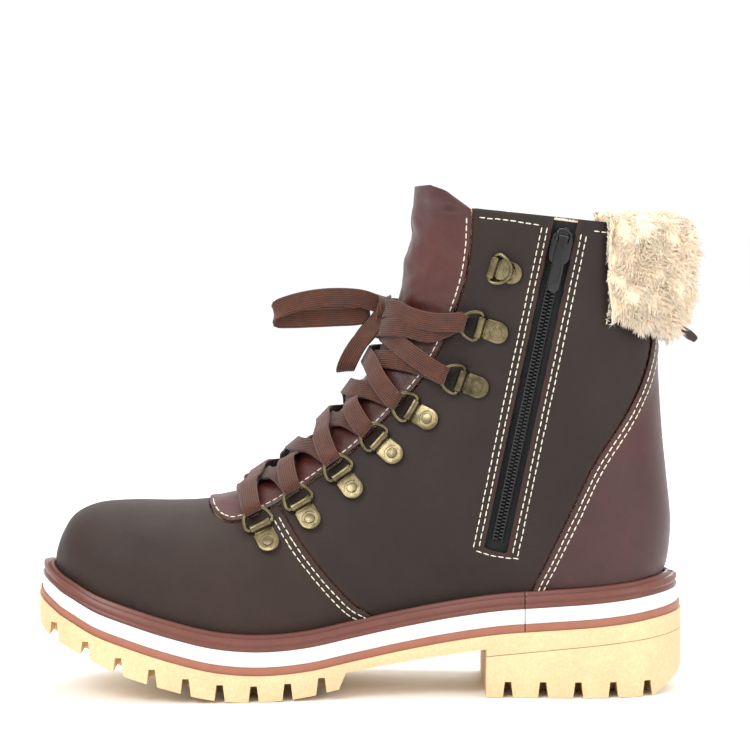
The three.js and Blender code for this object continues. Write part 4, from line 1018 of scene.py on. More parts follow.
class BOOT_OT_sole(bpy.types.Operator):
    """Build the sole: ribbed welt, white and rust strips, lugged crepe sole and heel"""
    bl_idname = "boot.sole"
    bl_label = "Sole"

    def execute(self, context):
        back = WELT_FLANGE - STRIP_WIDTH
        welt = [(back, 0.2), (-0.2, 0.2), (0.25, -1.2), (1.0, -1.6), (1.9, -1.3), (2.5, -0.1), (2.8, 0.5),
                (3.3, 0.5), (3.7, 0.0), (4.5, 0.1), (WELT_FLANGE, 1.0), (WELT_FLANGE + 0.25, 2.4),
                (WELT_FLANGE - 0.35, 3.3), (WELT_FLANGE - 0.45, 3.7), (WELT_FLANGE, 4.4), (WELT_FLANGE, 5.4),
                (back, 5.4)]
        strip_piece("ribbed_welt", welt, "welt", "welt")
        top = WELT_TALL + GAP * 0.5
        out = WELT_FLANGE + WHITE_OUT
        white = [(back, top), (out, top), (out + 0.15, top + WHITE_TALL / 2), (out, top + WHITE_TALL),
                 (back, top + WHITE_TALL)]
        strip_piece("white_midsole_strip", white, "white", "white_strip")
        top += WHITE_TALL + GAP * 0.5
        out = WELT_FLANGE + RUST_OUT
        rust = [(back, top), (out, top), (out + 0.2, top + RUST_TALL / 2), (out, top + RUST_TALL + 0.3),
                (back, top + RUST_TALL + 0.3)]
        strip_piece("rust_midsole_strip", rust, "rust", "rust_strip")
        drop = WELT_TALL + WHITE_TALL + RUST_TALL + 2.5 * GAP
        x = np.linspace(-156, 142, 150)
        roof = np.c_[x, seat_line(x) - drop]
        tread = np.concatenate([resample(TREAD[:13], 4.0), TREAD[13:]])
        lower = np.concatenate([tread, PARTING + (0, GAP)])
        crepe_block("crepe_forepart", np.concatenate([roof, lower[::-1]]),
                    tread_gaps(TREAD, -137, 14.5, 9), "outsole")
        crepe_block("crepe_heel", np.concatenate([PARTING, HEEL_GROUND[::-1]]),
                    tread_gaps(HEEL_GROUND, 59.5, 15.2, 5), "heel_lift")
        return {"FINISHED"}


# ---- upper -----------------------------------------------------------------------------------------
def upper_sheet(first, last, hands, step=0.08, across=60):
    """Grid of the upper's surface: points and faces that look outwards."""
    rows = np.append(np.arange(first, last - 1e-6, step), last)
    share = (1 - np.cos(math.pi * np.linspace(0, 1, across + 1))) / 2
    if len(hands) == 2:
        columns = [(-1, s) for s in share[::-1]] + [(1, s) for s in share[1:]]
    else:
        columns = [(hands[0], s) for s in (share if hands[0] > 0 else share[::-1])]
    u, k = np.meshgrid(rows, np.arange(len(columns)), indexing="ij")
    hand, s = np.array(columns)[k, 0], np.array(columns)[k, 1]
    points = upper_point(u, s, hand).reshape(-1, 3)
    wide = len(columns)
    i, j = np.meshgrid(np.arange(len(rows) - 1), np.arange(wide - 1), indexing="ij")
    a = (i * wide + j).ravel()
    quads = np.stack([a, a + wide, a + wide + 1, a + 1], 1)
    _, keep, merged = np.unique(np.round(points, 3), axis=0, return_index=True, return_inverse=True)
    return points[keep], merged.ravel()[quads]


def sheet_normals(points, quads):
    cross = np.cross(points[quads[:, 2]] - points[quads[:, 0]], points[quads[:, 3]] - points[quads[:, 1]])
    normals = np.zeros_like(points)
    for k in range(4):
        np.add.at(normals, quads[:, k], cross)
    return unit(normals)


def cut_sheet(points, quads, depth):
    """Keeps the part of a sheet where depth is positive; returns points, faces and depth."""
    points, depth = list(points), list(depth)
    new, faces = {}, []

    def crossing(a, b):
        key = (min(a, b), max(a, b))
        if key not in new:
            t = depth[a] / (depth[a] - depth[b])
            points.append(points[a] + (points[b] - points[a]) * t)
            depth.append(0.0)
            new[key] = len(points) - 1
        return new[key]

    for quad in quads:
        ring = [k for n, k in enumerate(quad) if k != quad[n - 1]]
        if len(ring) < 3:
            continue
        signs = [depth[k] >= 0 for k in ring]
        if all(signs):
            faces.append(ring)
        elif any(signs):
            kept = []
            for n, b in enumerate(ring):
                a = ring[n - 1]
                if (depth[a] >= 0) != (depth[b] >= 0):
                    kept.append(crossing(a, b))
                if depth[b] >= 0:
                    kept.append(b)
            if len(kept) >= 3:
                faces.append(kept)
    used = sorted({k for f in faces for k in f})
    order = {k: n for n, k in enumerate(used)}
    return np.array([points[k] for k in used]), [[order[k] for k in f] for f in faces], np.array(depth)[used]


def ease(value, reach):
    """1 at the edge, fading to 0 at the given reach."""
    t = np.clip(1 - value / reach, 0, 1)
    return t * t * (3 - 2 * t)


def ripple(points, size, height, seed=0.0):
    return np.array([noise.noise(Vector(p / size) + Vector((seed, seed, 0))) for p in points]) * height


ROUND_OVER = 0.5                 # how far a panel's cut edge is pressed down
RIM_MERGE = 0.5                  # points of the cut edge closer than this become one


def leather_panel(name, hands, finish, node, depth_of, lift_of, last=COLLAR_ROW, first=0.0):
    """A panel of the upper: a sheet cut to its outline, lifted, with its thickness and pressed-down edges."""
    points, quads = upper_sheet(first, last, hands)
    normals = sheet_normals(points, quads)
    view = points[:, [0, 2]]
    fields = regions(view)
    depth = depth_of(view, fields, points)
    near = depth > -4
    lift = np.zeros(len(points))
    lift[near] = lift_of(view[near], {k: v[near] for k, v in fields.items()}, points[near])
    points = points + normals * lift[:, None]
    points, faces, edge = cut_sheet(points, quads, depth)
    piece = make_piece(name, points, faces, finish)
    mark(piece, "edge", edge)
    bm = bmesh.new()
    bm.from_mesh(piece.data)
    rim = [v for v in bm.verts if v.is_boundary]
    bmesh.ops.remove_doubles(bm, verts=rim, dist=RIM_MERGE * MM)
    bmesh.ops.dissolve_degenerate(bm, edges=bm.edges, dist=0.01 * MM)
    bm.normal_update()
    for v in bm.verts:
        if v.is_boundary:
            v.co -= v.normal * ROUND_OVER * MM
    bm.to_mesh(piece.data)
    bm.free()
    modify(piece, "SOLIDIFY", thickness=sizes().leather * MM, offset=-1, use_even_offset=False)
    crisp(piece, 60)
    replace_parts(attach(piece, "root"), node)
    return piece


def quarter_depth(view, fields, points):
    return -np.maximum.reduce([fields["tongue"], fields["vamp"], fields["heel"]]) - GAP / 2


def medial_depth(view, fields, points):
    across, along = zip_place(view)
    slot = np.maximum(np.abs(across) - SLOT_HALF, -3 - along)
    return np.minimum(quarter_depth(view, fields, points), slot)


def quarter_lift(view, fields, points):
    flex = ripple(points, 26, 0.55, 3.1) * ease(np.hypot(view[:, 0] + 8, view[:, 1] - 78), 60)
    ankle = ripple(points, 34, 0.5, 8.0) * ease(np.hypot(view[:, 0] - 70, view[:, 1] - 120), 70)
    return flex + ankle


def zip_lift(view, fields, points):
    across, along = zip_place(view)
    away = np.maximum(np.abs(across) - SLOT_HALF, 0)
    on_zip = np.clip((along + 4) / 4, 0, 1)
    return quarter_lift(view, fields, points) * (1 - on_zip * ease(away, 14)) + 0.5 * on_zip * ease(away, 3.2)


def vamp_lift(view, fields, points):
    far = distance_to(smooth_line(VAMP_EDGE), view)
    clear = 1 - ease(np.maximum(-fields["tongue"], 0), 6)
    flex = ripple(points, 30, 0.7, 5.0) * ease(np.hypot(view[:, 0] + 35, view[:, 1] - 60), 42)
    return sizes().lift * ease(far, 9) * clear + flex * clear


def heel_lift(view, fields, points):
    return sizes().lift * ease(np.maximum(fields["heel"], 0), 8)


def tongue_lift(view, fields, points):
    soft = 1 - ease(np.maximum(fields["tongue"], 0), 9)
    creased = ripple(points * (1, 1, 1.6), 11, 1.3, 2.0) + ripple(points, 5, 0.35, 6.0)
    fold = -1.6 * np.exp(-(((view[:, 1] - 204 - (view[:, 0] - 26) * 0.6) / 4.5) ** 2))
    return sizes().lift * (0.9 * ease(np.maximum(fields["tongue"], 0), 9) + 0.3) + soft * (creased + fold)


class BOOT_OT_upper(bpy.types.Operator):
    """Build the leather upper: vamp, quarters, heel panel and the tongue with its facing"""
    bl_idname = "boot.upper"
    bl_label = "Upper"

    def execute(self, context):
        leather_panel(
            "vamp_leather", (-1, 1), "vamp", "vamp",
            lambda v, f, p: np.minimum(f["vamp"], -f["tongue"] - GAP / 2), vamp_lift)
        leather_panel("quarter_leather_medial", (-1,), "quarter", "quarter_medial",
                      medial_depth, zip_lift, first=5.0)
        leather_panel("quarter_leather_lateral", (1,), "quarter", "quarter_lateral",
                      quarter_depth, quarter_lift, first=5.0)
        leather_panel("heel_leather", (-1, 1), "heel", "heel_panel",
                      lambda v, f, p: f["heel"], heel_lift, first=12.0)
        tongue = leather_panel("tongue_leather", (-1, 1), "tongue", "tongue",
                               lambda v, f, p: f["tongue"], tongue_lift, last=28.9, first=4.0)
        return {"FINISHED"}


# ---- stitching -------------------------------------------------------------------------------------
def offset_line(line, away):
    """A line moved sideways in the side view; positive is to the left of its way."""
    smooth = smooth_line(line)
    along = unit(np.gradient(smooth, axis=0))
    return smooth + np.c_[-along[:, 1], along[:, 0]] * away


def sew(name, rows, surfaces, hands):
    """Stitches laid along rows given in the side view, on the pieces they are sewn through."""
    trees = []
    for surface in surfaces:
        bm = bmesh.new()
        bm.from_mesh(surface.data)
        trees.append(BVHTree.FromBMesh(bm))
        bm.free()
    bpy.ops.mesh.primitive_uv_sphere_add(segments=6, ring_count=5, radius=0.5)
    pattern = bpy.context.object
    points = np.array([v.co for v in pattern.data.vertices])
    faces = [list(p.vertices) for p in pattern.data.polygons]
    remove(pattern)
    long, thread, pitch = sizes().stitch, sizes().thread, sizes().stitch_pitch
    points = points[:, [2, 0, 1]] * np.array([long, thread, thread * 0.8])
    points[:, 0] = np.clip(points[:, 0] * 1.25, -long / 2, long / 2)
    matrices = []
    for hand in hands:
        for row in rows:
            path = resample(row, pitch / 6)
            hits = []
            for x, z in path:
                start = Vector((x, hand * 90, z)) * MM
                best = None
                for tree in trees:
                    hit = tree.ray_cast(start, Vector((0, -hand, 0)))
                    if hit[0] is not None and (best is None or hit[3] < best[3]):
                        best = hit
                hits.append(best)
            solid = [(np.array(h[0]) / MM, np.array(h[1])) for h in hits if h is not None]
            if len(solid) < 12:
                continue
            gaps = [np.linalg.norm(b[0] - a[0]) for a, b in zip(solid, solid[1:])]
            run = np.concatenate([[0], np.cumsum(gaps)])
            for place in np.arange(pitch / 2, run[-1], pitch):
                k = int(np.searchsorted(run, place))
                low, high = max(k - 2, 0), min(k + 2, len(solid) - 1)
                along = unit(solid[high][0] - solid[low][0])
                normal = unit(solid[k][1] if solid[k][1][1] * hand > -0.2 else -solid[k][1])
                normal = unit(normal - along * normal.dot(along))
                wobble = rng.uniform(-0.09, 0.09)
                matrices.append(matrix(along, np.cross(normal, along), normal,
                                       solid[k][0] + normal * 0.16 + np.cross(normal, along) * wobble))
    piece = copies(name, (points, faces), matrices, "thread")
    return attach(tidy_mesh(piece, 0.0005), "root")


def zip_line(across, low, high):
    """A line beside the zip, at a distance across it, from low to high along it."""
    places = np.linspace(low, high, 12)
    return np.array([np.array(ZIP_FOOT) + ZIP_ALONG * a + ZIP_ACROSS * across for a in places])


class BOOT_OT_stitching(bpy.types.Operator):
    """Sew the panels together with their rows of pale stitches"""
    bl_idname = "boot.stitching"
    bl_label = "Stitching"

    def execute(self, context):
        panels = {n: bpy.data.objects[n] for n in (
            "vamp_leather", "quarter_leather_medial", "quarter_leather_lateral", "heel_leather",
            "tongue_leather")}
        both = (-1, 1)
        sew("vamp_stitches", [offset_line(VAMP_EDGE, -2.3)[3:-9], offset_line(VAMP_EDGE, -4.7)[3:-9]],
            [panels["vamp_leather"]], both)
        sew("tongue_stitches", [offset_line(TONGUE_EDGE, 2.0)[6:-3]],
            [panels["tongue_leather"]], both)
        sew("heel_stitches", [offset_line(HEEL_EDGE, -2.2)[9:-9], offset_line(HEEL_EDGE, -4.3)[9:-9]],
            [panels["heel_leather"]], both)
        reach = float(np.linalg.norm(np.subtract(ZIP_TOP, ZIP_FOOT)))
        rows = [zip_line(-9.6, -3.5, reach - 3), zip_line(-7.2, -2.5, reach - 1),
                zip_line(7.6, -2.5, reach - 3), zip_line(9.9, -3.5, reach - 4)]
        foot = np.array(ZIP_FOOT) - ZIP_ALONG * 4.2
        rows.append(np.array([foot - ZIP_ACROSS * 9.0, foot - ZIP_ALONG * 0.8, foot + ZIP_ACROSS * 9.4]))
        rows.append(np.array([(46.5, 207.4), (58, 206.3), (71.5, 204.3)]))
        notch = [(95.5, 201.5), (109, 200.2), (107, 188), (103.9, 175.6), (101.4, 161.1), (104.5, 160.4)]
        rows += [np.array(notch[k:k + 2]) for k in (0, 4)] + [np.array(notch[1:5])]
        sew("zip_stitches", rows, [panels["quarter_leather_medial"]], (-1,))
        plain = [np.array([(46.5, 207.4), (70, 204.6), (109, 200.2)]), np.array(notch[1:5]),
                 np.array(notch[4:])]
        sew("collar_stitches", plain, [panels["quarter_leather_lateral"]], (1,))
        return {"FINISHED"}


# ---- lining, footbed, fur collar, pull tab ---------------------------------------------------------
LINING_OUT, LINING_DEEP = 3.9, 4.2
TAB_ROOT, TAB_TIP = (129, 166.5), (143.2, 153.2)
TAB_WIDE, TAB_THICK = 16.0, 2.6
FUR_SHARE, FUR_LOW, FUR_HIGH = 0.79, 25.05, 27.35
FUR_THICK = 20.0


def curly(points, normals, height, size, seed):
    """Moves points out in lumps, as curls of pile stand; returns points and how far up each is."""
    near = np.array([noise.turbulence(Vector(p / size) + Vector((seed, 0, 0)), 3, False) for p in points])
    up = np.clip(near, 0, 1)
    return points + normals * ((up - 0.35) * height)[:, None], up


def mesh_normals(points, faces):
    mesh = bpy.data.meshes.new("scratch")
    mesh.from_pydata(np.asarray(points).tolist(), [], [list(map(int, f)) for f in faces])
    found = np.array([v.normal for v in mesh.vertices])
    bpy.data.meshes.remove(mesh)
    return found


FUR_AROUND = 64                  # points round one section of the collar
LOCKS, CAP_LOCKS = 15000, 1100   # locks of pile on the collar, and on its two front ends


def fur_collar_base(columns=150, around=FUR_AROUND):
    rings = []
    for t in np.linspace(-1, 1, columns + 1):
        hand = -1 if t < 0 else 1
        s = min(1 - abs(t) * (1 - FUR_SHARE), 0.999)
        thick = 7 + (FUR_THICK - 7) * (1 - abs(t) ** 1.6)
        ends = math.sqrt(max(1 - abs(t) ** 14, 0.05))

        def out(u, away):
            return upper_point(u, s, hand) + upper_normal(u, s, hand) * away
        loop = [out(FUR_LOW, 1.5), out(26, 1.5), out(FUR_HIGH, 1.5), out(FUR_HIGH + 0.1, thick * 0.5 * ends),
                out(FUR_HIGH - 0.1, thick * 0.9 * ends), out(26.3, thick * ends),
                out(25.5, thick * 0.82 * ends), out(FUR_LOW, thick * 0.45 * ends)]
        even = resample(np.array(loop), 0.5, closed=True)
        place = np.linspace(0, len(even), around, endpoint=False)
        rings.append(np.stack([np.interp(place, np.arange(len(even) + 1), np.append(even[:, k], even[0, k]))
                               for k in range(3)], 1))
    return loft(rings)


def tufts(name, points, normals, chosen, lean, long, finish):
    """Small bent locks of pile, each a thin tapering curl."""
    locks, faces = [], []
    flow = np.stack([ripple(points[chosen], 7.0, 1.5, seed) for seed in (1.3, 5.1, 8.7)], 1)
    for n, k in enumerate(chosen):
        normal = normals[k]
        way = unit(normal * 0.8 + lean * rng.uniform(0.7, 1.2) + flow[n]
                   + np.array([rng.uniform(-1, 1) for _ in range(3)]) * 0.25)
        side = unit(np.cross(way, [rng.uniform(-1, 1), rng.uniform(-1, 1), rng.uniform(-1, 1)]))
        other = np.cross(way, side)
        reach = long * rng.uniform(0.55, 1.1)
        bend = side * reach * rng.uniform(-0.35, 0.35)
        radius = rng.uniform(0.26, 0.55)
        root = points[k] - normal * 0.8
        for share, slim in ((0.0, 1.0), (0.5, 0.72)):
            middle_of = root + way * reach * share + bend * share ** 2
            for a in (0, 2.094, 4.189):
                locks.append(middle_of + (side * math.cos(a) + other * math.sin(a)) * radius * slim)
        locks.append(root + way * reach + bend)
        b = n * 7
        faces.append([b, b + 2, b + 1])
        faces += [[b + i, b + (i + 1) % 3, b + 3 + (i + 1) % 3, b + 3 + i] for i in range(3)]
        faces += [[b + 3 + i, b + 3 + (i + 1) % 3, b + 6] for i in range(3)]
    piece = make_piece(name, locks, faces, finish)
    # Painted shade: each lock is marked darker towards its root and paler at its tip.
    mark(piece, "depth", np.tile([0.25, 0.25, 0.25, 0.75, 0.75, 0.75, 1.0], len(chosen)))
    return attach(tidy_mesh(piece, 0.0001), "root")


class BOOT_OT_shearling(bpy.types.Operator):
    """Line the boot with shearling, lay the footbed and sew the fur collar round its back"""
    bl_idname = "boot.shearling"
    bl_label = "Shearling"

    def execute(self, context):
        points, quads = upper_sheet(4.0, 26.95, (-1, 1), 0.12, 46)
        points = points - sheet_normals(points, quads) * LINING_OUT
        points, faces, _ = cut_sheet(points, quads, points[:, 2] - seat_line(points[:, 0]) - 2.0)
        lining = make_piece("shearling_lining", points, faces, "pile")
        modify(lining, "SOLIDIFY", thickness=LINING_DEEP * MM, offset=-1, use_even_offset=False)
        co = np.array([v.co for v in lining.data.vertices]) / MM
        normals = np.array([v.normal for v in lining.data.vertices])
        inner = normals[:, 1] * (co[:, 1] - middle(co[:, 0])) < 0
        top = co[:, 2] > 190
        moved, up = curly(co, normals, 1.1, 2.4, 4.0)
        co = np.where((inner | top)[:, None], moved, co)
        lining.data.vertices.foreach_set("co", (co * MM).ravel())
        # Painted shade: the lining's pile is marked darker where it lies low between its curls.
        mark(lining, "depth", up)
        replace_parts(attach(lining, "root"), "lining")
        self.footbed()
        self.collar()
        self.tab()
        return {"FINISHED"}

    def footbed(self):
        node = frame["nodes"]["footbed"]
        only(node)
        pad = node.copy()
        pad.data = node.data.copy()
        bpy.context.scene.collection.objects.link(pad)
        pad.parent = None
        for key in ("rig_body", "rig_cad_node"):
            if key in pad:
                del pad[key]
        pad.name = "felt_footbed"
        tidy_mesh(pad, 0.01)
        modify(pad, "REMESH", mode="VOXEL", voxel_size=1.6 * MM)
        modify(pad, "SMOOTH", factor=0.5, iterations=6)
        pad.data.materials.clear()
        pad.data.materials.append(FINISHES["felt"])
        pad.data.polygons.foreach_set("use_smooth", [True] * len(pad.data.polygons))
        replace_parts(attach(pad, "root"), "footbed")

    def collar(self):
        points, faces = fur_collar_base()
        normals = mesh_normals(points, faces)
        lumpy, up = curly(points, normals, 3.0, 7.0, 1.0)
        lumpy, fine = curly(lumpy, normals, 1.2, 1.9, 9.0)
        lumpy -= normals * 0.9
        collar = make_piece("fur_collar_pile", lumpy, faces, "pile")
        # Painted shade: the collar's pile is marked darker in the hollows between its lumps and fine curls.
        mark(collar, "depth", np.clip(up * 0.5 + fine * 0.6, 0, 1))
        tidy_mesh(collar)
        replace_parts(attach(collar, "root"), "fur_collar")
        away = points - np.stack([np.full(len(points), 78.0), middle(points[:, 0]), points[:, 2]], 1)
        facing = np.sum(unit(away) * normals, axis=1)
        outer = [k for k in range(len(points)) if facing[k] > -0.45]
        chosen = [rng.choice(outer) for _ in range(LOCKS)]
        caps = list(range(FUR_AROUND)) + list(range(len(points) - FUR_AROUND, len(points)))
        chosen += [rng.choice(caps) for _ in range(CAP_LOCKS)]
        tufts("fur_collar_locks", lumpy, normals, chosen, np.array([0.1, 0, -0.8]), sizes().tuft, "pile")
        rim = self.rim_points()
        tufts("lining_locks", rim[0], rim[1], list(range(len(rim[0]))), np.array([0, 0, 0.5]), 2.4, "pile")

    def rim_points(self):
        """Places along the lining's top edge where its pile shows."""
        spots, ways = [], []
        for _ in range(1500):
            s, hand = rng.uniform(0.10, 0.99), rng.choice((-1, 1))
            normal = upper_normal(26.85, s, hand)
            spots.append(upper_point(26.87, s, hand) - normal * rng.uniform(4.4, 7.6))
            ways.append(unit(np.array([0, 0, 1.0]) - normal * 0.6))
        return np.array(spots), np.array(ways)

    def tab(self):
        """The pull tab: a folded leather loop at the back."""
        root, tip = np.array([TAB_ROOT[0], 0, TAB_ROOT[1]]), np.array([TAB_TIP[0], 0, TAB_TIP[1]])
        along = unit(tip - root)
        up = np.cross([0, 1, 0], along)
        long = float(np.linalg.norm(tip - root))
        half, wide = TAB_THICK / 2, TAB_WIDE / 2
        face = [(0.4, half), (long * 0.5, half * 0.95), (long - 1.5, half), (long - 0.3, half * 0.7)]
        loop = face + [(long, 0)] + [(a, -b) for a, b in face[::-1]]
        even = resample(np.array(loop), 0.7)
        rings = []
        for y, grow in ((-wide, -0.35), (-wide + 0.35, 0), (-wide / 2, 0.05), (0, 0), (wide / 2, 0.05),
                        (wide - 0.35, 0), (wide, -0.35)):
            rings.append(np.array([root + along * a + up * (b + math.copysign(grow, b)) + np.array([0, y, 0])
                                   for a, b in even]))
        tab = crisp(tidy_mesh(make_piece("pull_tab_leather", *loft(rings), "tab")), 45)
        mark(tab, "edge", np.full(len(tab.data.vertices), 3.0))
        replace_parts(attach(tab, "root"), "pull_tab")


# ---- zip -------------------------------------------------------------------------------------------
TAPE_HALF, TAPE_DEPTH, TAPE = 12.0, 2.3, 0.8
COIL_TOP = -0.3
TOOTH_PITCH = 1.55
SLIDER_REST = 9.0
SLIDER_SIZE = (9.2, 15.0, 2.2)
AXLE_UP, AXLE_HIGH = 4.0, 3.9
PULLER_SIZE = (5.2, 24.0, 1.6)


def zip_matrix():
    """The zip's frame at its foot: X across, Y up along it, Z out; and its length."""
    foot, foot_normal = on_upper(*ZIP_FOOT, -1)
    head, head_normal = on_upper(*ZIP_TOP, -1)
    along = unit(head - foot)
    out = unit(foot_normal + head_normal)
    out = unit(out - along * out.dot(along))
    return matrix(np.cross(along, out), along, out, foot), float(np.linalg.norm(head - foot))


def placed(piece, m):
    """Moves a piece modelled in millimetres at the origin to its place, in metres."""
    piece.data.transform(Matrix(m))
    piece.data.transform(Matrix.Scale(MM, 4))
    piece.matrix_world = Matrix.Identity(4)
    return piece


def box_piece(name, low, high, finish, bevel=0.0, segments=2):
    """A block with rounded edges, in millimetres at the origin."""
    bpy.ops.object.select_all(action="DESELECT")
    bpy.ops.mesh.primitive_cube_add(size=1)
    piece = bpy.context.object
    piece.name = name
    low, high = np.array(low, float), np.array(high, float)
    for v in piece.data.vertices:
        v.co = Vector((low + high) / 2 + np.array(v.co) * (high - low))
    if bevel:
        modify(piece, "BEVEL", width=bevel, segments=segments, limit_method="NONE")
    piece.data.materials.append(FINISHES[finish])
    return piece


def outline_piece(name, outline, low, high, finish, bevel=0.3, segments=3):
    """A plate with a rounded rim: an outline in X and Y, from low to high, in millimetres."""
    rings = [np.c_[np.array(outline, float), np.full(len(outline), z)] for z in (low, high)]
    points, faces = loft(rings)
    piece = make_piece(name, points / MM, faces, finish)
    tidy_mesh(piece, 1e-4 / MM)
    modify(piece, "BEVEL", width=bevel, segments=segments, limit_method="ANGLE", angle_limit=math.radians(50))
    return piece


class BOOT_OT_zip(bpy.types.Operator):
    """Build the side zip: tape, two coils of teeth, slider and puller"""
    bl_idname = "boot.zip"
    bl_label = "Zip"

    def execute(self, context):
        m, long = zip_matrix()
        self.tape()
        self.coils(m, long)
        slider = m @ shift(0, long - SLIDER_REST, 0)
        self.slider(slider)
        self.puller(slider @ shift(0, AXLE_UP, AXLE_HIGH))
        return {"FINISHED"}

    def tape(self):
        points, quads = upper_sheet(5.0, COLLAR_ROW - 0.1, (-1,), 0.1, 90)
        points = points - sheet_normals(points, quads) * TAPE_DEPTH
        across, along = zip_place(points[:, [0, 2]])
        depth = np.minimum(TAPE_HALF - 2 - np.abs(across), along + 6)
        points, faces, _ = cut_sheet(points, quads, depth)
        tape = make_piece("zip_cloth_tape", points, faces, "tape")
        modify(tape, "SOLIDIFY", thickness=TAPE * MM, offset=-1)
        crisp(tape, 50)
        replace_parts(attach(tape, "root"), "zip_tape")

    def coils(self, m, long):
        turn = np.linspace(0, 2 * math.pi, 9, endpoint=False)
        for name, node, sign in (("zip_teeth_front", "zip_coil_front", -1),
                                 ("zip_teeth_rear", "zip_coil_rear", 1)):
            rings = []
            profile = ((0.10, 0.30, 0.5), (0.16, 0.62, 0.82), (0.7, 0.66, 0.85), (1.5, 0.52, 0.66),
                       (2.3, 0.45, 0.5), (2.45, 0.22, 0.3))
            for x, wide, tall in profile:
                rings.append(np.c_[np.full(len(turn), sign * x), np.cos(turn) * wide,
                                   np.sin(turn) * tall + COIL_TOP - 0.85])
            pattern = loft(rings if sign > 0 else rings[::-1])
            spots = np.arange(2.5, long - 2.0, TOOTH_PITCH) + (0.5 if sign > 0 else 0) * TOOTH_PITCH
            teeth = copies(name, pattern, [m @ shift(0, y, 0) for y in spots], "coil")
            cord = [np.array([sign * 2.0, y, COIL_TOP - 1.2]) for y in np.linspace(1.6, long - 1.6, 60)]
            points, faces = tube(np.array(cord), 0.5, 8)
            core = make_piece(name + "_cord", [(m @ np.append(p, 1))[:3] for p in points], faces, "coil")
            tidy_mesh(join(name, teeth, core), 0.0005)
            crisp(teeth, 50)
            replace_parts(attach(teeth, "root"), node)

    def slider(self, m):
        wide, long, tall = SLIDER_SIZE
        half, tail, nose = wide / 2, -long / 2, long / 2
        outline = resample(np.array([
            (-half + 1.6, tail), (0, tail - 0.2), (half - 1.6, tail), (half - 0.1, tail + 2.5), (half, 0),
            (half, nose - 4.5), (half - 1.4, nose - 1.2), (1.4, nose), (-1.4, nose),
            (-half + 1.4, nose - 1.2), (-half, nose - 4.5), (-half, 0),
            (-half + 0.1, tail + 2.5)]), 0.5, closed=True)
        plate = outline_piece("zip_slider_body", outline, 0.2, 0.2 + tall, "slider", 0.7, 4)
        pieces = [plate]
        for sign in (-1, 1):
            xs = sorted((sign * 3.0, sign * (half - 0.1)))
            pieces.append(box_piece("flange", (xs[0], tail + 2, -0.8), (xs[1], nose - 3, 1.2), "slider", 0.3))
            xs = sorted((sign * 2.4, sign * 3.5))
            low, high = (xs[0], AXLE_UP - 2.1, 1.8), (xs[1], AXLE_UP + 2.1, 2.4 + 2.7)
            pieces.append(box_piece("lug", low, high, "slider", 0.5, 3))
        bridge = resample(np.array([(0, -5.4, 1.8), (0, -4.6, 3.0), (0, -2.2, 3.1), (0, -0.6, 1.8)]), 0.3)
        points, faces = tube(bridge, 0.7, 10)
        pieces.append(make_piece("bridge", np.array(points) / MM, faces, "slider"))
        body = crisp(placed(join("zip_slider_body", *pieces), m), 40)
        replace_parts(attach(body, "zip_slider"), "zip_slider")

    def puller(self, m):
        wide, long, thick = PULLER_SIZE
        half, neck = wide / 2, 2.1
        left = [(-neck, 0.6), (-neck, -4), (-half, -7), (-half, -long + 2.4), (-half + 0.8, -long + 0.6),
                (-half + 2.0, -long)]
        outline = np.array(left + [(-x, y) for x, y in left[::-1]])
        tag = outline_piece("zip_puller_tag", outline, -thick / 2, thick / 2, "slider", 0.35, 3)
        window = resample(np.array([(0, -long + 4), (1.2, -long + 5), (1.2, -12), (0, -11), (-1.2, -12),
                                    (-1.2, -long + 5)]), 0.4, closed=True)
        hole = outline_piece("window", window, thick / 2 - 0.45, thick, "slider", 0.05, 1)
        cut(tag, hole)
        pin = [np.array([x, 0, 0]) for x in np.linspace(-2.1, 2.1, 5)]
        points, faces = tube(np.array(pin), 0.78, 12)
        tag = join("zip_puller_tag", tag, make_piece("pin", np.array(points) / MM, faces, "slider"))
        crisp(placed(tag, m), 40)
        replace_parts(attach(tag, "zip_puller"), "zip_puller")


# ---- D-rings and their clips -----------------------------------------------------------------------
BARREL_LONG, BARREL_RADIUS = 9.6, 1.9
PLATE_WIDE, PLATE_LONG, PLATE_THICK = 9.6, 10.5, 1.1
CLIP_OFF = 0.4


def clip_pattern():
    """A clip: a rolled strap round the ring's bar, a neck, and a rounded plate with a raised rim."""
    half = PLATE_WIDE / 2
    start = -BARREL_RADIUS - 0.5
    foot = start - PLATE_LONG + half
    bend = [(half * math.cos(a), foot + half * math.sin(a)) for a in np.linspace(0, -math.pi, 21)]
    outline = [(half - 0.2, start), *bend, (-half + 0.2, start)]
    plate = outline_piece("clip_plate", outline, CLIP_OFF, CLIP_OFF + PLATE_THICK, "brass", 0.3, 3)
    round_turn = np.linspace(0, 2 * math.pi, 28, endpoint=False)
    oval = [(3.5 * math.cos(a), foot + 0.3 + 3.3 * math.sin(a)) for a in round_turn]
    dent = outline_piece("dent", oval, CLIP_OFF + PLATE_THICK - 0.35, CLIP_OFF + 3, "brass", 0.05, 1)
    cut(plate, dent)
    small = [(x * 0.68, (y - foot - 0.3) * 0.68 + foot + 0.3) for x, y in oval]
    boss = outline_piece("boss", small, CLIP_OFF + 0.6, CLIP_OFF + PLATE_THICK + 0.12, "brass", 0.25, 3)
    low, high = (-half + 0.9, start - 0.9, CLIP_OFF), (half - 0.9, -0.6, CLIP_OFF + 1.0)
    neck = box_piece("neck", low, high, "brass", 0.25)
    rings = []
    profile = ((-1, 1.25), (-1, 1.55), (-0.96, 1.82), (-0.90, BARREL_RADIUS), (-0.3, BARREL_RADIUS - 0.04),
               (0.3, BARREL_RADIUS - 0.04), (0.90, BARREL_RADIUS), (0.96, 1.82), (1, 1.55), (1, 1.25))
    for place, radius in profile:
        rings.append(np.c_[np.full(len(round_turn), place * BARREL_LONG / 2), np.cos(round_turn) * radius,
                           np.sin(round_turn) * radius + HINGE_HEIGHT])
    points, faces = loft(rings, closed=True)
    barrel = make_piece("barrel", points / MM, faces, "brass")
    return crisp(join("clip_pattern", plate, boss, neck, tidy_mesh(barrel, 1e-4 / MM)), 40)


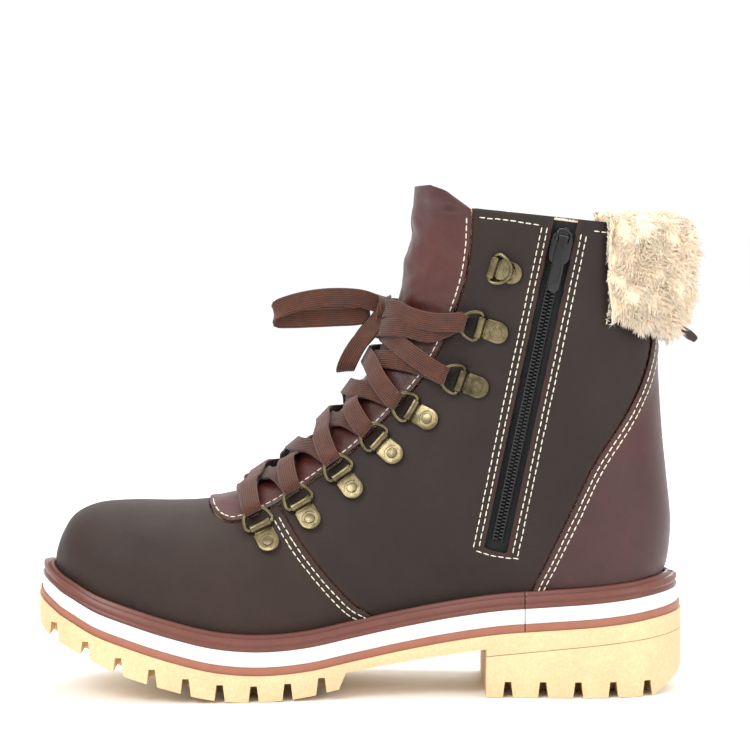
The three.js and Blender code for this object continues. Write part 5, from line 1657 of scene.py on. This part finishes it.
def ring_pattern():
    """A D-ring of round wire, with its straight bar in the clip's barrel."""
    shoulder = 1.4
    bow = [(RING_HALF * math.cos(a), shoulder + (RING_REACH - shoulder) * math.sin(a), 0)
           for a in np.linspace(0, math.pi, 25)]
    bar = [(share * (RING_HALF - 0.9), 0, 0) for share in (-1, -0.5, 0, 0.5, 1)]
    path = resample(np.array(bow + bar), 0.5, closed=True)
    points, faces = tube(path, sizes().wire * 0.98, 12, closed=True)
    return make_piece("ring_pattern", points / MM, faces, "brass")


class BOOT_OT_rings(bpy.types.Operator):
    """Set the sixteen D-rings and their clips along the lacing"""
    bl_idname = "boot.rings"
    bl_label = "D-rings"

    def execute(self, context):
        patterns = {"clip": clip_pattern(), "ring": tidy_mesh(ring_pattern(), 1e-4 / MM)}
        for side_name, hand in HANDS.items():
            for index, row in enumerate(CLIPS):
                places = {"clip": clip_matrix(row, hand), "ring": ring_matrix(index, hand)}
                for kind, pattern in patterns.items():
                    node = f"{kind}_{side_name}_{index + 1}"
                    piece = pattern.copy()
                    piece.data = pattern.data.copy()
                    piece.name = f"brass_{node}"
                    bpy.context.scene.collection.objects.link(piece)
                    placed(piece, places[kind])
                    body = "root" if kind == "clip" else node
                    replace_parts(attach(piece, body), node)
        remove(*patterns.values())
        return {"FINISHED"}


class BOOT_OT_inner(bpy.types.Operator):
    """Give the hidden pieces inside the boot their finishes"""
    bl_idname = "boot.inner"
    bl_label = "Inner pieces"

    def execute(self, context):
        inner = {"midsole_filler": "cork", "shank": "steel", "insole_board": "board", "toe_puff": "board",
                 "heel_counter": "board"}
        for node, finish in inner.items():
            mesh = frame["nodes"][node].data
            mesh.materials.clear()
            mesh.materials.append(FINISHES[finish])
        return {"FINISHED"}


# ---- stage -----------------------------------------------------------------------------------------
VIEW_WIDE = 0.3244
VIEW_MIDDLE = (0.0020, -0.030, 0.1393)
VIEW_FAR = 1.3
VIEW_RISE = 3.4
LAMPS = {                        # place, power, size
    "key": ((-0.9, -1.5, 1.5), 22, 0.9),
    "fill": ((1.3, -1.3, 0.8), 9, 1.2),
    "top": ((0.1, 0.2, 1.6), 12, 0.8),
    "back": ((0.6, 1.5, 0.9), 9, 1.0),
}
LAMP_TARGET = (0, 0, 0.1)
DAYLIGHT = 1.06                  # strength of the even light from all round


def lamp(name, place, target, power, size):
    bpy.ops.object.light_add(type="AREA", location=place)
    light = bpy.context.object
    light.name = name
    light.data.energy, light.data.size = power, size
    light.rotation_euler = (Vector(target) - Vector(place)).to_track_quat("-Z", "Y").to_euler()


class BOOT_OT_stage(bpy.types.Operator):
    """Set up the camera, the pale floor and the soft studio light"""
    bl_idname = "boot.stage"
    bl_label = "Stage"

    def execute(self, context):
        scene = context.scene
        rise = math.radians(VIEW_RISE)
        target = Vector(VIEW_MIDDLE)
        bpy.ops.object.camera_add(location=target + Vector((0, -math.cos(rise), math.sin(rise))) * VIEW_FAR)
        camera = context.object
        camera.rotation_euler = (math.pi / 2 - rise, 0, 0)
        camera.data.lens = camera.data.sensor_width * VIEW_FAR / VIEW_WIDE
        camera.data.clip_end = 50
        camera.data.dof.use_dof = False
        scene.camera = camera
        bpy.ops.mesh.primitive_plane_add(size=30, location=(0, 0, -0.0002))
        floor = context.object
        floor.name = "floor"
        paint = Paint("pale_floor", Roughness=0.6)
        drift = paint.noise(1.5, 2, 0.5)
        base = paint.blend(drift, linear((0.975, 0.975, 0.975)), linear((0.985, 0.985, 0.985)))
        floor.data.materials.append(paint.finish(Base_Color=base))
        world = bpy.data.worlds.new("studio")
        world.use_nodes = True
        world.node_tree.nodes["Background"].inputs["Color"].default_value = (1, 1, 1, 1)
        world.node_tree.nodes["Background"].inputs["Strength"].default_value = DAYLIGHT
        scene.world = world
        scene.view_settings.view_transform = "Standard"
        for name, (place, power, size) in LAMPS.items():
            lamp(name, place, LAMP_TARGET, power, size)
        return {"FINISHED"}


# ---- panel and registration ------------------------------------------------------------------------
STEPS = ("stage", "laces", "sole", "upper", "stitching", "shearling", "zip", "rings", "inner")


class BOOT_PT_panel(bpy.types.Panel):
    """The boot's sizes, colours and building steps"""
    bl_idname = "BOOT_PT_panel"
    bl_label = "Insulated boot"
    bl_space_type = "VIEW_3D"
    bl_region_type = "UI"
    bl_category = "Boot"

    def draw(self, context):
        column = self.layout.column()
        for group in (context.scene.boot_sizes, context.scene.boot_colours):
            for key in group.__annotations__:
                column.prop(group, key)
        for step in STEPS:
            column.operator(f"boot.{step}")


CLASSES = (
    BootSizes, BootColours, BOOT_OT_stage, BOOT_OT_laces, BOOT_OT_sole, BOOT_OT_upper, BOOT_OT_stitching,
    BOOT_OT_shearling, BOOT_OT_zip, BOOT_OT_rings, BOOT_OT_inner, BOOT_PT_panel)


def register():
    for cls in CLASSES:
        bpy.utils.register_class(cls)
    bpy.types.Scene.boot_sizes = bpy.props.PointerProperty(type=BootSizes)
    bpy.types.Scene.boot_colours = bpy.props.PointerProperty(type=BootColours)


def unregister():
    del bpy.types.Scene.boot_colours
    del bpy.types.Scene.boot_sizes
    for cls in reversed(CLASSES):
        bpy.utils.unregister_class(cls)


def main():
    register()
    make_finishes()
    for step in STEPS:
        getattr(bpy.ops.boot, step)()


if __name__ == "__main__":
    main()
